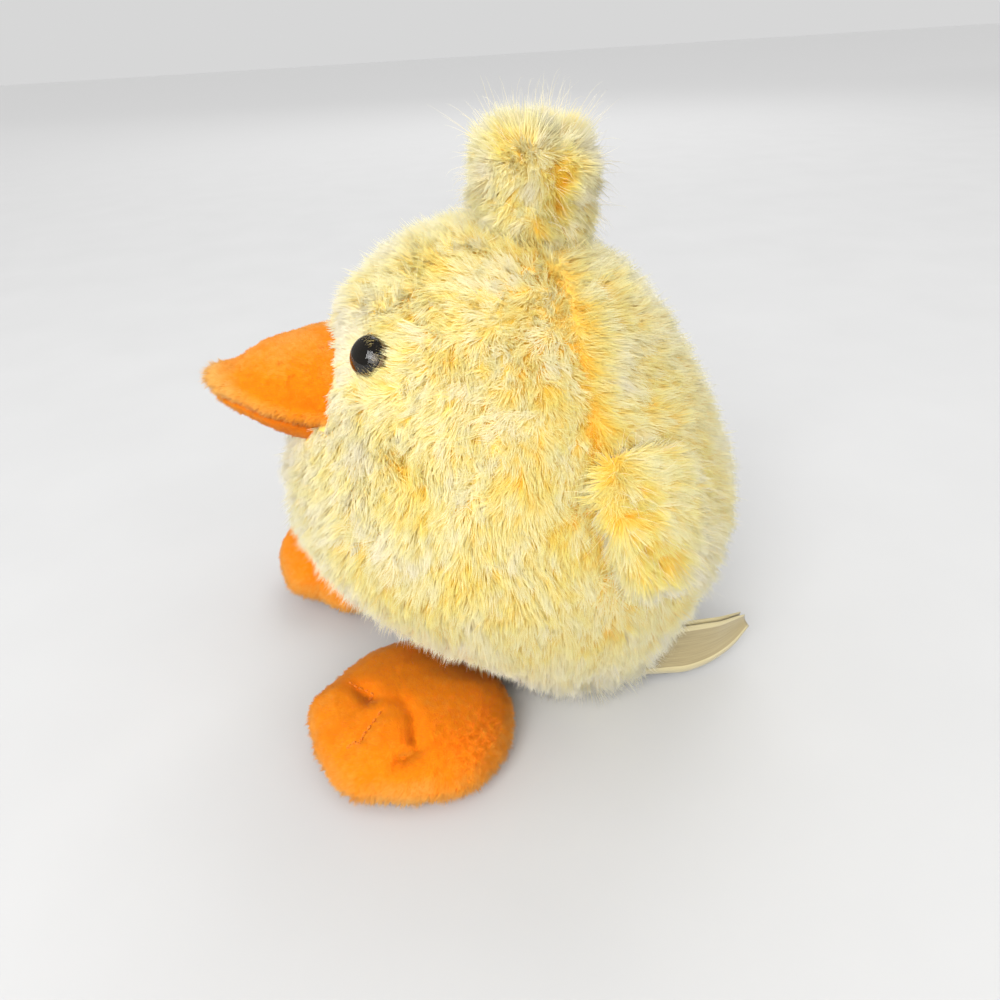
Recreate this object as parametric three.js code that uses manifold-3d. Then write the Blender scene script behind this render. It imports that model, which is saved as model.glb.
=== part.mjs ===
import * as THREE from 'three';
import { mergeVertices } from 'three/addons/utils/BufferGeometryUtils.js';
import Module from 'manifold-3d';

// A plush chick sitting on its weighted base. Millimetres, +Z up.
// It faces -Y, its own left side is +X, and the origin is the middle of its flat base.

const wasm = await Module();
wasm.setup();

// Fits
const seamGap = 0.3;
const touchGap = 0.3;

// Body outline, over the cloth and the lie of its pile
const bodyWidth = 159;
const bodyDepth = 173;
const bodyHeight = 183;
const widestHeight = 76;
const baseWidth = 93;
const baseDepth = 53;
const crownRoundness = 1.64;
const bellyRoundness = 1.5;
const leanForward = 28.5;
const leanHeight = 145.5;

// Body panels: pile cloth, sewn at the sides, front, back and base
const pileCloth = 4;
const sideSeamY = -8;
const coreHeight = 81;
const baseSeamHeight = 12;

// Pouch of pellets in the base
const pouchWidth = 92;
const pouchDepth = 84;
const pouchHeight = 32;
const pouchCloth = 0.8;
const pouchOpening = 8;
const pouchRows = 8;

// Topknot: a round head on a narrower neck, sewn over the crown
const topknotWidth = 44;
const topknotHeight = 34;
const topknotShoulder = 19;
const topknotRoundness = 0.8;
const topknotWaistWidth = 38;
const topknotWaist = 3;
const topknotNeck = 24;
const topknotSink = 6;
const topknotForward = 4;
const topknotCloth = 2.5;
const topknotSwing = 20;
const topknotHingeLift = 1;

// Wings, sewn into the side seams and folded back
const wingLength = 52;
const wingTall = 51;
const wingPuff = 32;
const wingCentreY = 13;
const wingCentreZ = 92;
const wingCloth = 2.5;
const wingSeamDepth = 5;

// Feet: flat padded fans of three toes, sewn on under the belly
const footAhead = 41;
const footBehind = 39;
const footOuterHalf = 38.5;
const footInnerHalf = 41;
const footThickness = 27;
const footSeamHeight = 8;
const footCloth = 1.6;
const heelRoundness = 2;
const toeRoundness = 2.1;
const toeNotch = 0.035;
const toeRepeat = 6;
const footTopRoundness = 2.4;
const footUnderRoundness = 6;
const footSwingUp = 20;
const footSwingDown = 45;
const footHingeHeight = 14;
const footHingeBearing = 39;
const footBearing = 29;

// How each foot lies: how far its middle is from its hinge, how far it sinks into its own
// rounding, its turn towards the chick's right and its tilt on its inner edge
const leftFootLie = { out: 37.5, sink: 0, turn: 8, tilt: 0 };
const rightFootLie = { out: 39.3, sink: 2.5, turn: 15, tilt: 10 };

// Threads: the closed back seam and the toe lines
const threadWidth = 0.9;
const threadLift = 0.9;
// How far to each side of a spot the slope under its thread is taken
const slopeReach = 1;
const stitchPitch = 4;
const closingStitches = 14;
const closingStitchWidth = 4;
const closingSeamLow = 46;
const toeLineAngle = 27;
const toeThreadLength = 26;
const toeThreadStart = 0.86;

// Beak: the upper and lower halves meet along a mouth line that rises to the tip
const beakReach = 26;
const beakSink = 19;
const beakWidth = 60;
const beakRise = 30;
const beakDrop = 13.5;
const beakCloth = 1.6;
const beakTipLength = 0.4;
const beakTipLift = 1;
const beakLeast = 0.5;
const mouthHeight = 121;
const mouthTilt = 9;

// Eyes
const eyeDiameter = 14;
const eyeDomeHeight = 5;
const eyeBearing = 26.9;
const eyePolar = 46.9;
const pupilDiameter = 9.4;
const pupilThickness = 0.6;
const eyeFlange = 1.2;
const stemDiameter = 3.6;
const stemBeyondWasher = 3;
const washerDiameter = 12;
const washerThickness = 1;

// Sewn-in label: leaves that lie one on another. Each row places the low and the high edge:
// inwards from the edge's own root on the side of the body, back from that root, and height.
const labelLeaf = 0.4;
const labelLeafPitch = 0.9;
const labelRootY = 10;
const labelClearance = 1;
const longLeafEdges = [
  [[0, 0, 4], [0, 0, 22]],
  [[3, 13, 3], [4.5, 13.5, 22.5]],
  [[7, 28, 2.5], [11, 28, 23.5]],
  [[8.5, 40, 3], [15.5, 40, 21.5]],
  [[10, 50.5, 6.5], [18.5, 50, 19.5]],
  [[11.5, 59.5, 12.5], [21, 57.5, 18]],
];
const shortLeafEdges = [
  [[0, 0, 4], [0, 0, 22]],
  [[3, 8, 4], [1.5, 8, 25]],
  [[6.5, 19, 5], [7, 19, 30]],
  [[10.5, 29, 7], [13, 29, 31]],
];

// Fineness of the faceted surfaces
const bodyColumns = 24;
const bodyRows = 12;
const lumpColumns = 16;
const lumpRows = 8;
const footColumns = 24;
const footRings = 3;
const beakColumns = 16;
const beakSteps = 7;
const labelSteps = 8;
const toeThreadSteps = 9;
const roundSides = 16;
const domeSteps = 4;
const topknotSteps = 4;
const reachSteps = 44;

const radians = THREE.MathUtils.degToRad;

// Closed meshes to solids and back

function solidOf(geometry) {
  const bare = new THREE.BufferGeometry();
  bare.setAttribute('position', geometry.getAttribute('position').clone());
  if (geometry.index) bare.setIndex(geometry.index.clone());
  const merged = mergeVertices(bare, 1e-4);
  return new wasm.Manifold(new wasm.Mesh({
    numProp: 3,
    vertProperties: new Float32Array(merged.getAttribute('position').array),
    triVerts: new Uint32Array(merged.index.array),
  }));
}

function geometryOf(solid) {
  const mesh = solid.getMesh();
  const geometry = new THREE.BufferGeometry();
  geometry.setAttribute('position', new THREE.BufferAttribute(new Float32Array(mesh.vertProperties), 3));
  geometry.setIndex(new THREE.BufferAttribute(new Uint32Array(mesh.triVerts), 1));
  geometry.computeVertexNormals();
  return geometry;
}

const within = (solid, region) => solid.intersect(region);
const without = (solid, ...cutters) => cutters.reduce((left, cutter) => left.subtract(cutter), solid);

// A closed surface from a first pole, rings of equal count and a last pole, running so that
// its faces point out when the rings turn anticlockwise about the way from last to first.
// Each four-sided field is split along one diagonal, and in the crossed column along the other.
function ringSurface(firstPole, rings, lastPole, crossedColumn = -1) {
  const count = rings[0].length;
  const points = [firstPole, ...rings.flat(), lastPole];
  const last = points.length - 1;
  const faces = [];
  for (let i = 0; i < count; i++) {
    const next = (i + 1) % count;
    faces.push(0, 1 + i, 1 + next);
    for (let row = 0; row < rings.length - 1; row++) {
      const upper = 1 + row * count;
      const lower = upper + count;
      const crossed = i === crossedColumn;
      faces.push(upper + i, lower + i, crossed ? upper + next : lower + next);
      faces.push(crossed ? lower + i : upper + i, lower + next, upper + next);
    }
    const foot = 1 + (rings.length - 1) * count;
    faces.push(foot + i, last, foot + next);
  }
  const geometry = new THREE.BufferGeometry().setFromPoints(points);
  geometry.setIndex(faces);
  return geometry;
}

const middleOf = (ring) => ring
  .reduce((sum, point) => sum.add(point), new THREE.Vector3())
  .divideScalar(ring.length);

function block(low, high) {
  const size = new THREE.Vector3().subVectors(high, low);
  const middle = new THREE.Vector3().addVectors(high, low).multiplyScalar(0.5);
  return new THREE.BoxGeometry(size.x, size.y, size.z).translate(middle.x, middle.y, middle.z);
}

// Half spaces, as blocks that reach past the whole chick
const far = 400;
const corner = (x, y, z) => new THREE.Vector3(x, y, z);
const leftOf = (x) => solidOf(block(corner(x, -far, -far), corner(far, far, far)));
const rightOf = (x) => solidOf(block(corner(-far, -far, -far), corner(x, far, far)));
const behind = (y) => solidOf(block(corner(-far, y, -far), corner(far, far, far)));
const before = (y) => solidOf(block(corner(-far, -far, -far), corner(far, y, far)));
const above = (z) => solidOf(block(corner(-far, -far, z), corner(far, far, far)));
const below = (z) => solidOf(block(corner(-far, -far, -far), corner(far, far, z)));

// Body: level slices are ellipses whose middles lean forward as they rise

const leanAt = (z) => {
  const share = z / leanHeight;
  return -leanForward * (2 * share - share * share);
};

function sliceAt(z, inset) {
  if (z >= widestHeight) {
    const share = (z - widestHeight) / (bodyHeight - inset - widestHeight);
    const swell = Math.sqrt(Math.max(0, 1 - share ** crownRoundness));
    return { x: (bodyWidth / 2 - inset) * swell, y: (bodyDepth / 2 - inset) * swell };
  }
  const share = Math.min(1, (widestHeight - z) / (widestHeight - inset));
  const swell = Math.max(0, 1 - share ** bellyRoundness) ** (1 / bellyRoundness);
  return {
    x: baseWidth / 2 - inset + ((bodyWidth - baseWidth) / 2) * swell,
    y: baseDepth / 2 - inset + ((bodyDepth - baseDepth) / 2) * swell,
  };
}

function inBody(point, inset) {
  if (point.z < inset || point.z >= bodyHeight - inset) return false;
  const slice = sliceAt(point.z, inset);
  const across = point.x / slice.x;
  const along = (point.y - leanAt(point.z)) / slice.y;
  return across * across + along * along < 1;
}

function reach(origin, direction, inset) {
  let inside = 0;
  let outside = bodyHeight + bodyDepth;
  const point = new THREE.Vector3();
  for (let step = 0; step < reachSteps; step++) {
    const middle = (inside + outside) / 2;
    point.copy(origin).addScaledVector(direction, middle);
    if (inBody(point, inset)) inside = middle;
    else outside = middle;
  }
  return point.copy(origin).addScaledVector(direction, inside);
}

// Bearings are counted from the face towards the chick's left, polar angles from the crown
const core = new THREE.Vector3(0, sideSeamY, coreHeight);

function heading(bearing, polar) {
  const flat = Math.sin(radians(polar));
  return new THREE.Vector3(
    flat * Math.sin(radians(bearing)),
    -flat * Math.cos(radians(bearing)),
    Math.cos(radians(polar)),
  );
}

const onBody = (bearing, polar, inset = 0) => reach(core, heading(bearing, polar), inset);

function bodyNormal(bearing, polar) {
  const step = 1;
  const across = onBody(bearing + step, polar).sub(onBody(bearing - step, polar));
  const down = onBody(bearing, polar + step).sub(onBody(bearing, polar - step));
  return down.cross(across).normalize();
}

function bodySolid(inset) {
  const floorSpot = new THREE.Vector3(0, sideSeamY, inset);
  const rings = Array.from({ length: bodyRows }, () => []);
  for (let i = 0; i < bodyColumns; i++) {
    const bearing = ((i + 0.5) * 360) / bodyColumns;
    const rim = reach(floorSpot, heading(bearing, 90), inset);
    const fall = Math.hypot(rim.x - core.x, rim.y - core.y);
    const rimPolar = 180 - THREE.MathUtils.radToDeg(Math.atan2(fall, core.z - inset));
    rings.forEach((ring, row) => {
      const polar = (rimPolar * (row + 1)) / bodyRows;
      ring.push(row === bodyRows - 1 ? rim : onBody(bearing, polar, inset));
    });
  }
  return solidOf(ringSurface(onBody(0, 0, inset), rings, floorSpot));
}

const bodies = new Map();
function body(inset) {
  if (!bodies.has(inset)) bodies.set(inset, bodySolid(inset));
  return bodies.get(inset);
}

// The body turned about a hinge: what a moving piece must stay clear of all the way
function turnedBody(inset, spot, axis, angle) {
  const geometry = geometryOf(body(inset));
  const turn = new THREE.Matrix4().makeTranslation(spot)
    .multiply(new THREE.Matrix4().makeRotationAxis(axis, radians(angle)))
    .multiply(new THREE.Matrix4().makeTranslation(spot.clone().negate()));
  return solidOf(geometry.applyMatrix4(turn));
}

const skin = without(body(0), body(pileCloth));
const halfSeam = seamGap / 2;
const frontSkin = within(within(skin, before(sideSeamY - halfSeam)), above(baseSeamHeight + halfSeam));
const backSkin = within(within(skin, behind(sideSeamY + halfSeam)), above(baseSeamHeight + halfSeam));

// Eyes: dome, pupil, flanged stem and locking washer on one axis square to the face

function eyeFrame(side) {
  const spot = onBody(side * eyeBearing, eyePolar);
  const normal = bodyNormal(side * eyeBearing, eyePolar);
  const turn = new THREE.Quaternion().setFromUnitVectors(new THREE.Vector3(0, 0, 1), normal);
  return new THREE.Matrix4().compose(spot, turn, new THREE.Vector3(1, 1, 1));
}

// Where a straight line first meets a solid's faceted surface
function meets(geometry, start, direction) {
  const [hit] = new THREE.Raycaster(start, direction).intersectObject(new THREE.Mesh(geometry));
  return hit.point;
}

const spun = (profile) => new THREE.LatheGeometry(
  profile.map(([radius, height]) => new THREE.Vector2(radius, height)),
  roundSides,
).rotateX(Math.PI / 2);

const rod = (diameter, low, high) => spun([
  [0, low],
  [diameter / 2, low],
  [diameter / 2, high],
  [0, high],
]);

// Heights of a body surface above an eye's spot, under the middle and the rim of a disc
function heightsUnder(disc, frame, inset) {
  const surface = geometryOf(body(inset));
  const down = new THREE.Vector3(0, 0, -1).transformDirection(frame);
  const back = frame.clone().invert();
  const offsets = [new THREE.Vector3(0, 0, eyeDiameter)];
  for (let i = 0; i < roundSides / 2; i++) {
    const angle = (4 * Math.PI * i) / roundSides;
    offsets.push(new THREE.Vector3((disc / 2) * Math.cos(angle), (disc / 2) * Math.sin(angle), eyeDiameter));
  }
  return offsets.map((offset) => meets(surface, offset.applyMatrix4(frame), down).applyMatrix4(back).z);
}

// The eye's flange lies on the cloth, and its washer clamps the cloth from within
function eyeSeats(side) {
  const frame = eyeFrame(side);
  const flange = Math.max(...heightsUnder(eyeDiameter, frame, 0)) + touchGap;
  const washer = Math.min(...heightsUnder(washerDiameter, frame, pileCloth)) - touchGap;
  const end = washer - washerThickness - stemBeyondWasher;
  return { frame, flange, dome: flange + eyeFlange + touchGap, washer, end };
}

const eyes = { 1: eyeSeats(1), [-1]: eyeSeats(-1) };

function eyeDome(side) {
  const back = eyes[side].dome;
  const recess = back + pupilThickness + touchGap;
  const pupilRoom = pupilDiameter / 2 + touchGap;
  const profile = [[0, recess], [pupilRoom, recess], [pupilRoom, back], [eyeDiameter / 2, back]];
  for (let i = 1; i <= domeSteps; i++) {
    const lift = (Math.PI / 2) * (i / domeSteps);
    const radius = i === domeSteps ? 0 : (eyeDiameter / 2) * Math.cos(lift);
    profile.push([radius, back + eyeDomeHeight * Math.sin(lift)]);
  }
  return spun(profile);
}

const eyePupil = (side) => rod(pupilDiameter, eyes[side].dome, eyes[side].dome + pupilThickness);

const eyeStem = (side) => spun([
  [0, eyes[side].end],
  [stemDiameter / 2, eyes[side].end],
  [stemDiameter / 2, eyes[side].flange],
  [eyeDiameter / 2, eyes[side].flange],
  [eyeDiameter / 2, eyes[side].flange + eyeFlange],
  [0, eyes[side].flange + eyeFlange],
]);

const eyeWasher = (side) => spun([
  [stemDiameter / 2 + touchGap, eyes[side].washer - washerThickness],
  [washerDiameter / 2, eyes[side].washer - washerThickness],
  [washerDiameter / 2, eyes[side].washer],
  [stemDiameter / 2 + touchGap, eyes[side].washer],
  [stemDiameter / 2 + touchGap, eyes[side].washer - washerThickness],
]);

const stemHole = (side) => solidOf(
  rod(stemDiameter + 2 * touchGap, eyes[side].end, eyes[side].dome).applyMatrix4(eyes[side].frame),
);
const washerPocket = (side) => solidOf(
  rod(washerDiameter + 2 * touchGap, eyes[side].end - touchGap, 0).applyMatrix4(eyes[side].frame),
);

// Filling of the body, and the pouch of pellets that weights its base

function pouchDome(inset) {
  const dome = new THREE.SphereGeometry(1, roundSides, pouchRows).rotateX(Math.PI / 2);
  dome.scale(pouchWidth / 2 - inset, pouchDepth / 2 - inset, pouchHeight - inset);
  return solidOf(dome);
}

const pouchSpace = (inset) => within(body(pileCloth + touchGap + inset), pouchDome(inset));
const pouchGap = solidOf(rod(pouchOpening, widestHeight / 4, widestHeight));

// Topknot: a stuffed tuft sewn across the crown

const crown = onBody(0, 0);
const topknotHinge = crown.clone().add(new THREE.Vector3(0, 0, topknotHingeLift));
const acrossAxis = new THREE.Vector3(1, 0, 0);

function topknotSolid(inset) {
  const wide = topknotWidth / 2 - inset;
  const low = crown.z - topknotSink + inset;
  const shoulder = crown.z + topknotShoulder;
  const profile = [
    [0, low],
    [topknotNeck / 2 - inset, low],
    [topknotWaistWidth / 2 - inset, crown.z + topknotWaist],
  ];
  for (let i = 0; i <= topknotSteps; i++) {
    const lift = (Math.PI / 2) * (i / topknotSteps);
    const height = shoulder + (topknotHeight - topknotShoulder - inset) * Math.sin(lift);
    profile.push([i === topknotSteps ? 0 : wide * Math.cos(lift) ** topknotRoundness, height]);
  }
  const lump = spun(profile).translate(0, crown.y - topknotForward, 0);
  const clear = [-topknotSwing, 0, topknotSwing]
    .map((angle) => turnedBody(-touchGap - inset, topknotHinge, acrossAxis, angle));
  return without(solidOf(lump), ...clear);
}

const topknotSkin = without(topknotSolid(0), topknotSolid(topknotCloth));

// Wings: soft lobes on the side seams, lying back against the body

function wingSolid(side, inset) {
  const spot = onBodyAt(side, wingCentreY, wingCentreZ);
  const lobe = new THREE.SphereGeometry(1, lumpColumns, lumpRows);
  lobe.scale(wingPuff / 2 - inset, wingLength / 2 - inset, wingTall / 2 - inset);
  lobe.rotateZ(side * Math.atan2(spot.slope, 1));
  lobe.translate(spot.x, wingCentreY, wingCentreZ);
  return without(
    solidOf(lobe),
    body(-touchGap - inset),
    before(sideSeamY + halfSeam + inset),
  );
}

// The side of the body at a height and a depth, and how fast it falls away to the rear
function onBodyAt(side, y, z) {
  const slice = sliceAt(z, 0);
  const along = (y - leanAt(z)) / slice.y;
  const x = slice.x * Math.sqrt(1 - along * along);
  const slope = ((slice.x / slice.y) ** 2 * (y - leanAt(z))) / x;
  return { x: side * x, slope };
}

function wingPanels(side) {
  const shell = without(wingSolid(side, 0), wingSolid(side, wingCloth));
  return {
    outer: without(shell, body(-wingSeamDepth - halfSeam)),
    inner: within(shell, body(-wingSeamDepth + halfSeam)),
    filling: wingSolid(side, wingCloth + touchGap),
  };
}

// Feet

// Reach of the foot's outline from its middle, by the angle from its straight-ahead line,
// counted towards its outer side
function footOutline(angle) {
  const ahead = Math.cos(angle);
  const aside = Math.sin(angle);
  const length = ahead > 0 ? footAhead : footBehind;
  const width = aside > 0 ? footOuterHalf : footInnerHalf;
  const round = ahead > 0 ? toeRoundness : heelRoundness;
  const plain = (Math.abs(ahead / length) ** round + Math.abs(aside / width) ** round) ** (-1 / round);
  return plain * (1 + toeNotch * Math.max(0, ahead) * Math.cos(toeRepeat * angle));
}

// Heights of the upper and the sole at a share of the way from the middle to the outline
const footTop = (share, inset) => footSeamHeight
  + (footThickness - inset - footSeamHeight) * Math.sqrt(Math.max(0, 1 - share ** footTopRoundness));
const footUnder = (share, inset) => footSeamHeight
  - (footSeamHeight - inset) * Math.sqrt(Math.max(0, 1 - share ** footUnderRoundness));

function footPoint(side, angle, share, height, inset) {
  const out = (footOutline(side * angle) - inset) * share;
  return new THREE.Vector3(out * Math.sin(angle), -out * Math.cos(angle), height);
}

function footFrame(side) {
  const lie = side > 0 ? leftFootLie : rightFootLie;
  const middle = footHinge(side).spot.addScaledVector(heading(side * footBearing, 90), lie.out);
  const innerEdge = -side * footInnerHalf;
  return new THREE.Matrix4().makeTranslation(middle.x, middle.y, -lie.sink)
    .multiply(new THREE.Matrix4().makeRotationZ(-radians(lie.turn)))
    .multiply(new THREE.Matrix4().makeTranslation(innerEdge, 0, 0))
    .multiply(new THREE.Matrix4().makeRotationY(-side * radians(lie.tilt)))
    .multiply(new THREE.Matrix4().makeTranslation(-innerEdge, 0, 0));
}

// The foot swings about the seam that joins it to the belly
const footHinge = (side) => ({
  spot: reach(new THREE.Vector3(0, 0, footHingeHeight), heading(side * footHingeBearing, 90), 0),
  axis: new THREE.Vector3(Math.cos(radians(footBearing)), side * Math.sin(radians(footBearing)), 0),
});

function footSolid(side, inset) {
  const quarter = Math.PI / 2 / (footRings + 1);
  const shares = Array.from({ length: footRings }, (_, i) => Math.sin((i + 1) * quarter));
  const circle = (share, height) => Array.from(
    { length: footColumns },
    (_, i) => footPoint(side, (i * 2 * Math.PI) / footColumns, share, height(share, inset), inset),
  );
  const rings = [
    ...shares.map((share) => circle(share, footTop)),
    circle(1, footTop),
    ...shares.toReversed().map((share) => circle(share, footUnder)),
  ];
  const pad = ringSurface(
    new THREE.Vector3(0, 0, footTop(0, inset)),
    rings,
    new THREE.Vector3(0, 0, inset),
  ).applyMatrix4(footFrame(side));
  const hinge = footHinge(side);
  const clear = [footSwingDown, footSwingDown / 2, 0, -footSwingUp]
    .map((angle) => turnedBody(-touchGap - inset, hinge.spot, hinge.axis, -angle));
  return without(solidOf(pad), ...clear);
}

function footPanels(side) {
  const shell = without(footSolid(side, 0), footSolid(side, footCloth));
  const frame = footFrame(side);
  const upperSpace = block(corner(-far, -far, footSeamHeight + halfSeam), corner(far, far, far));
  const soleSpace = block(corner(-far, -far, -far), corner(far, far, footSeamHeight - halfSeam));
  return {
    upper: within(shell, solidOf(upperSpace.applyMatrix4(frame))),
    sole: within(shell, solidOf(soleSpace.applyMatrix4(frame))),
    filling: footSolid(side, footCloth + touchGap),
  };
}

// Threads, laid on the cloth through a row of spots, each with its own way up

function thread(spots) {
  const half = threadWidth / 2;
  const rings = spots.map(({ spot, up }, i) => {
    const last = spots[Math.max(0, i - 1)].spot;
    const next = spots[Math.min(spots.length - 1, i + 1)].spot;
    const along = next.clone().sub(last).normalize();
    const side = new THREE.Vector3().crossVectors(along, up).normalize().multiplyScalar(half);
    const rise = new THREE.Vector3().crossVectors(side, along).normalize().multiplyScalar(half);
    const middle = spot.clone().addScaledVector(up.clone().normalize(), threadLift + half);
    const at = (across, lift) => middle.clone().addScaledVector(side, across).addScaledVector(rise, lift);
    return [at(-1, -1), at(1, -1), at(1, 1), at(-1, 1)];
  });
  return ringSurface(middleOf(rings[0]), rings, middleOf(rings.at(-1)));
}

function toeThread(side, lean) {
  const frame = footFrame(side);
  const angle = radians(lean);
  const outline = footOutline(side * angle);
  const foot = geometryOf(footSolid(side, 0));
  const down = new THREE.Vector3(0, 0, -1);
  const spotAt = (out) => {
    const over = footPoint(side, angle, out / outline, 2 * footThickness, 0).applyMatrix4(frame);
    return meets(foot, over, down);
  };
  const across = new THREE.Vector3(Math.cos(angle), Math.sin(angle), 0).transformDirection(frame);
  const spots = [];
  for (let i = 0; i <= toeThreadSteps; i++) {
    const out = outline * toeThreadStart - (i * toeThreadLength) / toeThreadSteps;
    const slope = spotAt(out + slopeReach).sub(spotAt(out - slopeReach));
    const up = new THREE.Vector3().crossVectors(across, slope);
    if (up.z < 0) up.negate();
    spots.push({ spot: spotAt(out), up });
  }
  return thread(spots);
}

// The seam that was closed last, by a thread that crosses it from side to side
function closingThread() {
  const surface = geometryOf(body(0));
  const forward = new THREE.Vector3(0, -1, 0);
  const backAt = (x, z) => meets(surface, new THREE.Vector3(x, bodyDepth, z), forward);
  const spots = [];
  for (let i = 0; i <= closingStitches; i++) {
    const height = closingSeamLow + i * stitchPitch;
    const across = (i % 2 ? 0.5 : -0.5) * closingStitchWidth;
    const rise = backAt(across, height + slopeReach).sub(backAt(across, height - slopeReach));
    spots.push({ spot: backAt(across, height), up: new THREE.Vector3(0, rise.z, -rise.y) });
  }
  return thread(spots);
}

// Beak: two cloth halves that meet along the mouth, open and stuffed where they join the face.
// Each station gives a share of the way to the tip, then shares of the half width, the rise
// of the upper half above the mouth line and the drop of the lower half below it.
const beakStations = [
  [0.00, 1.04, 1.02, 1.00],
  [0.35, 0.96, 0.94, 0.92],
  [0.62, 0.72, 0.66, 0.78],
  [0.80, 0.50, 0.44, 0.50],
  [0.93, 0.28, 0.34, 0.26],
  [1.00, 0.10, 0.16, 0.12],
];

const beakRootY = leanAt(mouthHeight) - sliceAt(mouthHeight, 0).y + beakSink;
const beakLength = beakReach + beakSink;

function beakLoft(inset) {
  const width = new THREE.SplineCurve(beakStations.map(([s, w]) => new THREE.Vector2(s, w)));
  const rise = new THREE.SplineCurve(beakStations.map(([s, , r]) => new THREE.Vector2(s, r)));
  const drop = new THREE.SplineCurve(beakStations.map(([s, , , d]) => new THREE.Vector2(s, d)));
  const rings = [];
  for (let i = 0; i <= beakSteps; i++) {
    const part = i / beakSteps;
    const share = width.getPoint(part).x;
    const y = beakRootY - share * (beakLength - inset);
    const middle = mouthHeight + (beakRootY - y) * Math.tan(radians(mouthTilt));
    const halfWidth = Math.max(beakLeast, (width.getPoint(part).y * beakWidth) / 2 - inset);
    const up = Math.max(beakLeast, rise.getPoint(part).y * beakRise - inset);
    const down = Math.max(beakLeast, drop.getPoint(part).y * beakDrop - inset);
    rings.push(Array.from({ length: beakColumns }, (_, k) => {
      const angle = ((k + 0.5) * 2 * Math.PI) / beakColumns;
      const height = Math.sin(angle);
      return new THREE.Vector3(halfWidth * Math.cos(angle), y, middle + height * (height > 0 ? up : down));
    }));
  }
  const tipHeight = mouthHeight + beakLength * Math.tan(radians(mouthTilt)) + beakTipLift;
  const tip = new THREE.Vector3(0, beakRootY - beakLength - beakTipLength + inset, tipHeight);
  const root = new THREE.Vector3(0, beakRootY, mouthHeight);
  return solidOf(ringSurface(tip, rings.toReversed(), root));
}

function mouthSlab(lift, upper) {
  const slab = block(corner(-far, -far, upper ? 0 : -far), corner(far, far, upper ? far : 0));
  slab.rotateX(-radians(mouthTilt));
  return solidOf(slab.translate(0, beakRootY, mouthHeight + lift));
}

const beakSkin = without(beakLoft(0), body(-touchGap), beakLoft(beakCloth));

// Label: thin leaves that leave the side seam low down, run back and curl outwards at the tip.
// The inner side of a leaf is split as its outer side is, so that the two don't cross where it twists.

const leafInnerColumn = 3;

function labelLeafSolid(edges, layer) {
  const [lowEdge, highEdge] = [0, 1].map((edge) => {
    const rootX = onBodyAt(1, labelRootY, edges[0][edge][2]).x + labelClearance;
    return new THREE.CatmullRomCurve3(edges.map((row) => {
      const [inwards, back, height] = row[edge];
      return corner(rootX - inwards, labelRootY + back, height);
    }));
  });
  const rings = [];
  for (let i = 0; i <= labelSteps; i++) {
    const share = i / labelSteps;
    const low = lowEdge.getPoint(share);
    const high = highEdge.getPoint(share);
    const out = lowEdge.getTangent(share).cross(high.clone().sub(low)).normalize();
    const inner = layer * labelLeafPitch;
    const at = (edge, offset) => edge.clone().addScaledVector(out, offset);
    rings.push([at(low, inner), at(low, inner + labelLeaf), at(high, inner + labelLeaf), at(high, inner)]);
  }
  return ringSurface(middleOf(rings[0]), rings, middleOf(rings.at(-1)), leafInnerColumn);
}

// Materials

const finish = (color, roughness) => new THREE.MeshStandardMaterial({ color, roughness });
const pile = finish(0xfbe98a, 0.95);
const velour = finish(0xf78f1e, 0.9);
const fibre = finish(0xf4f2ea, 1);
const calico = finish(0xe9e2cf, 0.95);
const beans = finish(0xd9dcdf, 0.6);
const amber = finish(0xa8702a, 0.1);
const blackGloss = finish(0x0b0a0a, 0.12);
const nylon = finish(0xe8e6df, 0.5);
const satin = finish(0xe8dcae, 0.55);
const yellowThread = finish(0xf5d76a, 0.8);
const orangeThread = finish(0xf3a040, 0.8);

// Assembly

const chick = new THREE.Group();

function put(name, geometry, material, parent = chick) {
  const mesh = new THREE.Mesh(geometry, material);
  mesh.name = name;
  parent.add(mesh);
}

const putSolid = (name, solid, material, parent) => put(name, geometryOf(solid), material, parent);

for (const [name, side] of [['left', 1], ['right', -1]]) {
  const half = side > 0 ? leftOf(halfSeam) : rightOf(-halfSeam);
  putSolid(`front_panel_${name}`, without(within(frontSkin, half), stemHole(side)), pile);
  putSolid(`back_panel_${name}`, within(backSkin, half), pile);
}
putSolid('base_panel', within(skin, below(baseSeamHeight - halfSeam)), pile);
putSolid('body_filling', without(
  body(pileCloth + touchGap),
  pouchDome(-touchGap),
  washerPocket(1),
  washerPocket(-1),
), fibre);
putSolid('pellet_pouch', without(pouchSpace(0), pouchSpace(pouchCloth), pouchGap), calico);
putSolid('pellet_fill', pouchSpace(pouchCloth + touchGap), beans);
put('closing_seam_thread', closingThread(), yellowThread);

putSolid('beak_upper', within(beakSkin, mouthSlab(halfSeam, true)), velour);
putSolid('beak_lower', within(beakSkin, mouthSlab(-halfSeam, false)), velour);
putSolid('beak_filling', without(beakLoft(beakCloth + touchGap), body(-touchGap)), fibre);

for (const [name, side] of [['left', 1], ['right', -1]]) {
  const place = eyes[side].frame;
  put(`${name}_eye_dome`, eyeDome(side).applyMatrix4(place), amber);
  put(`${name}_eye_pupil`, eyePupil(side).applyMatrix4(place), blackGloss);
  put(`${name}_eye_stem`, eyeStem(side).applyMatrix4(place), blackGloss);
  put(`${name}_eye_washer`, eyeWasher(side).applyMatrix4(place), nylon);
}

const topknot = new THREE.Group();
chick.add(topknot);
putSolid('topknot_front_panel', within(topknotSkin, before(sideSeamY - halfSeam)), pile, topknot);
putSolid('topknot_back_panel', within(topknotSkin, behind(sideSeamY + halfSeam)), pile, topknot);
putSolid('topknot_filling', topknotSolid(topknotCloth + touchGap), fibre, topknot);

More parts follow.
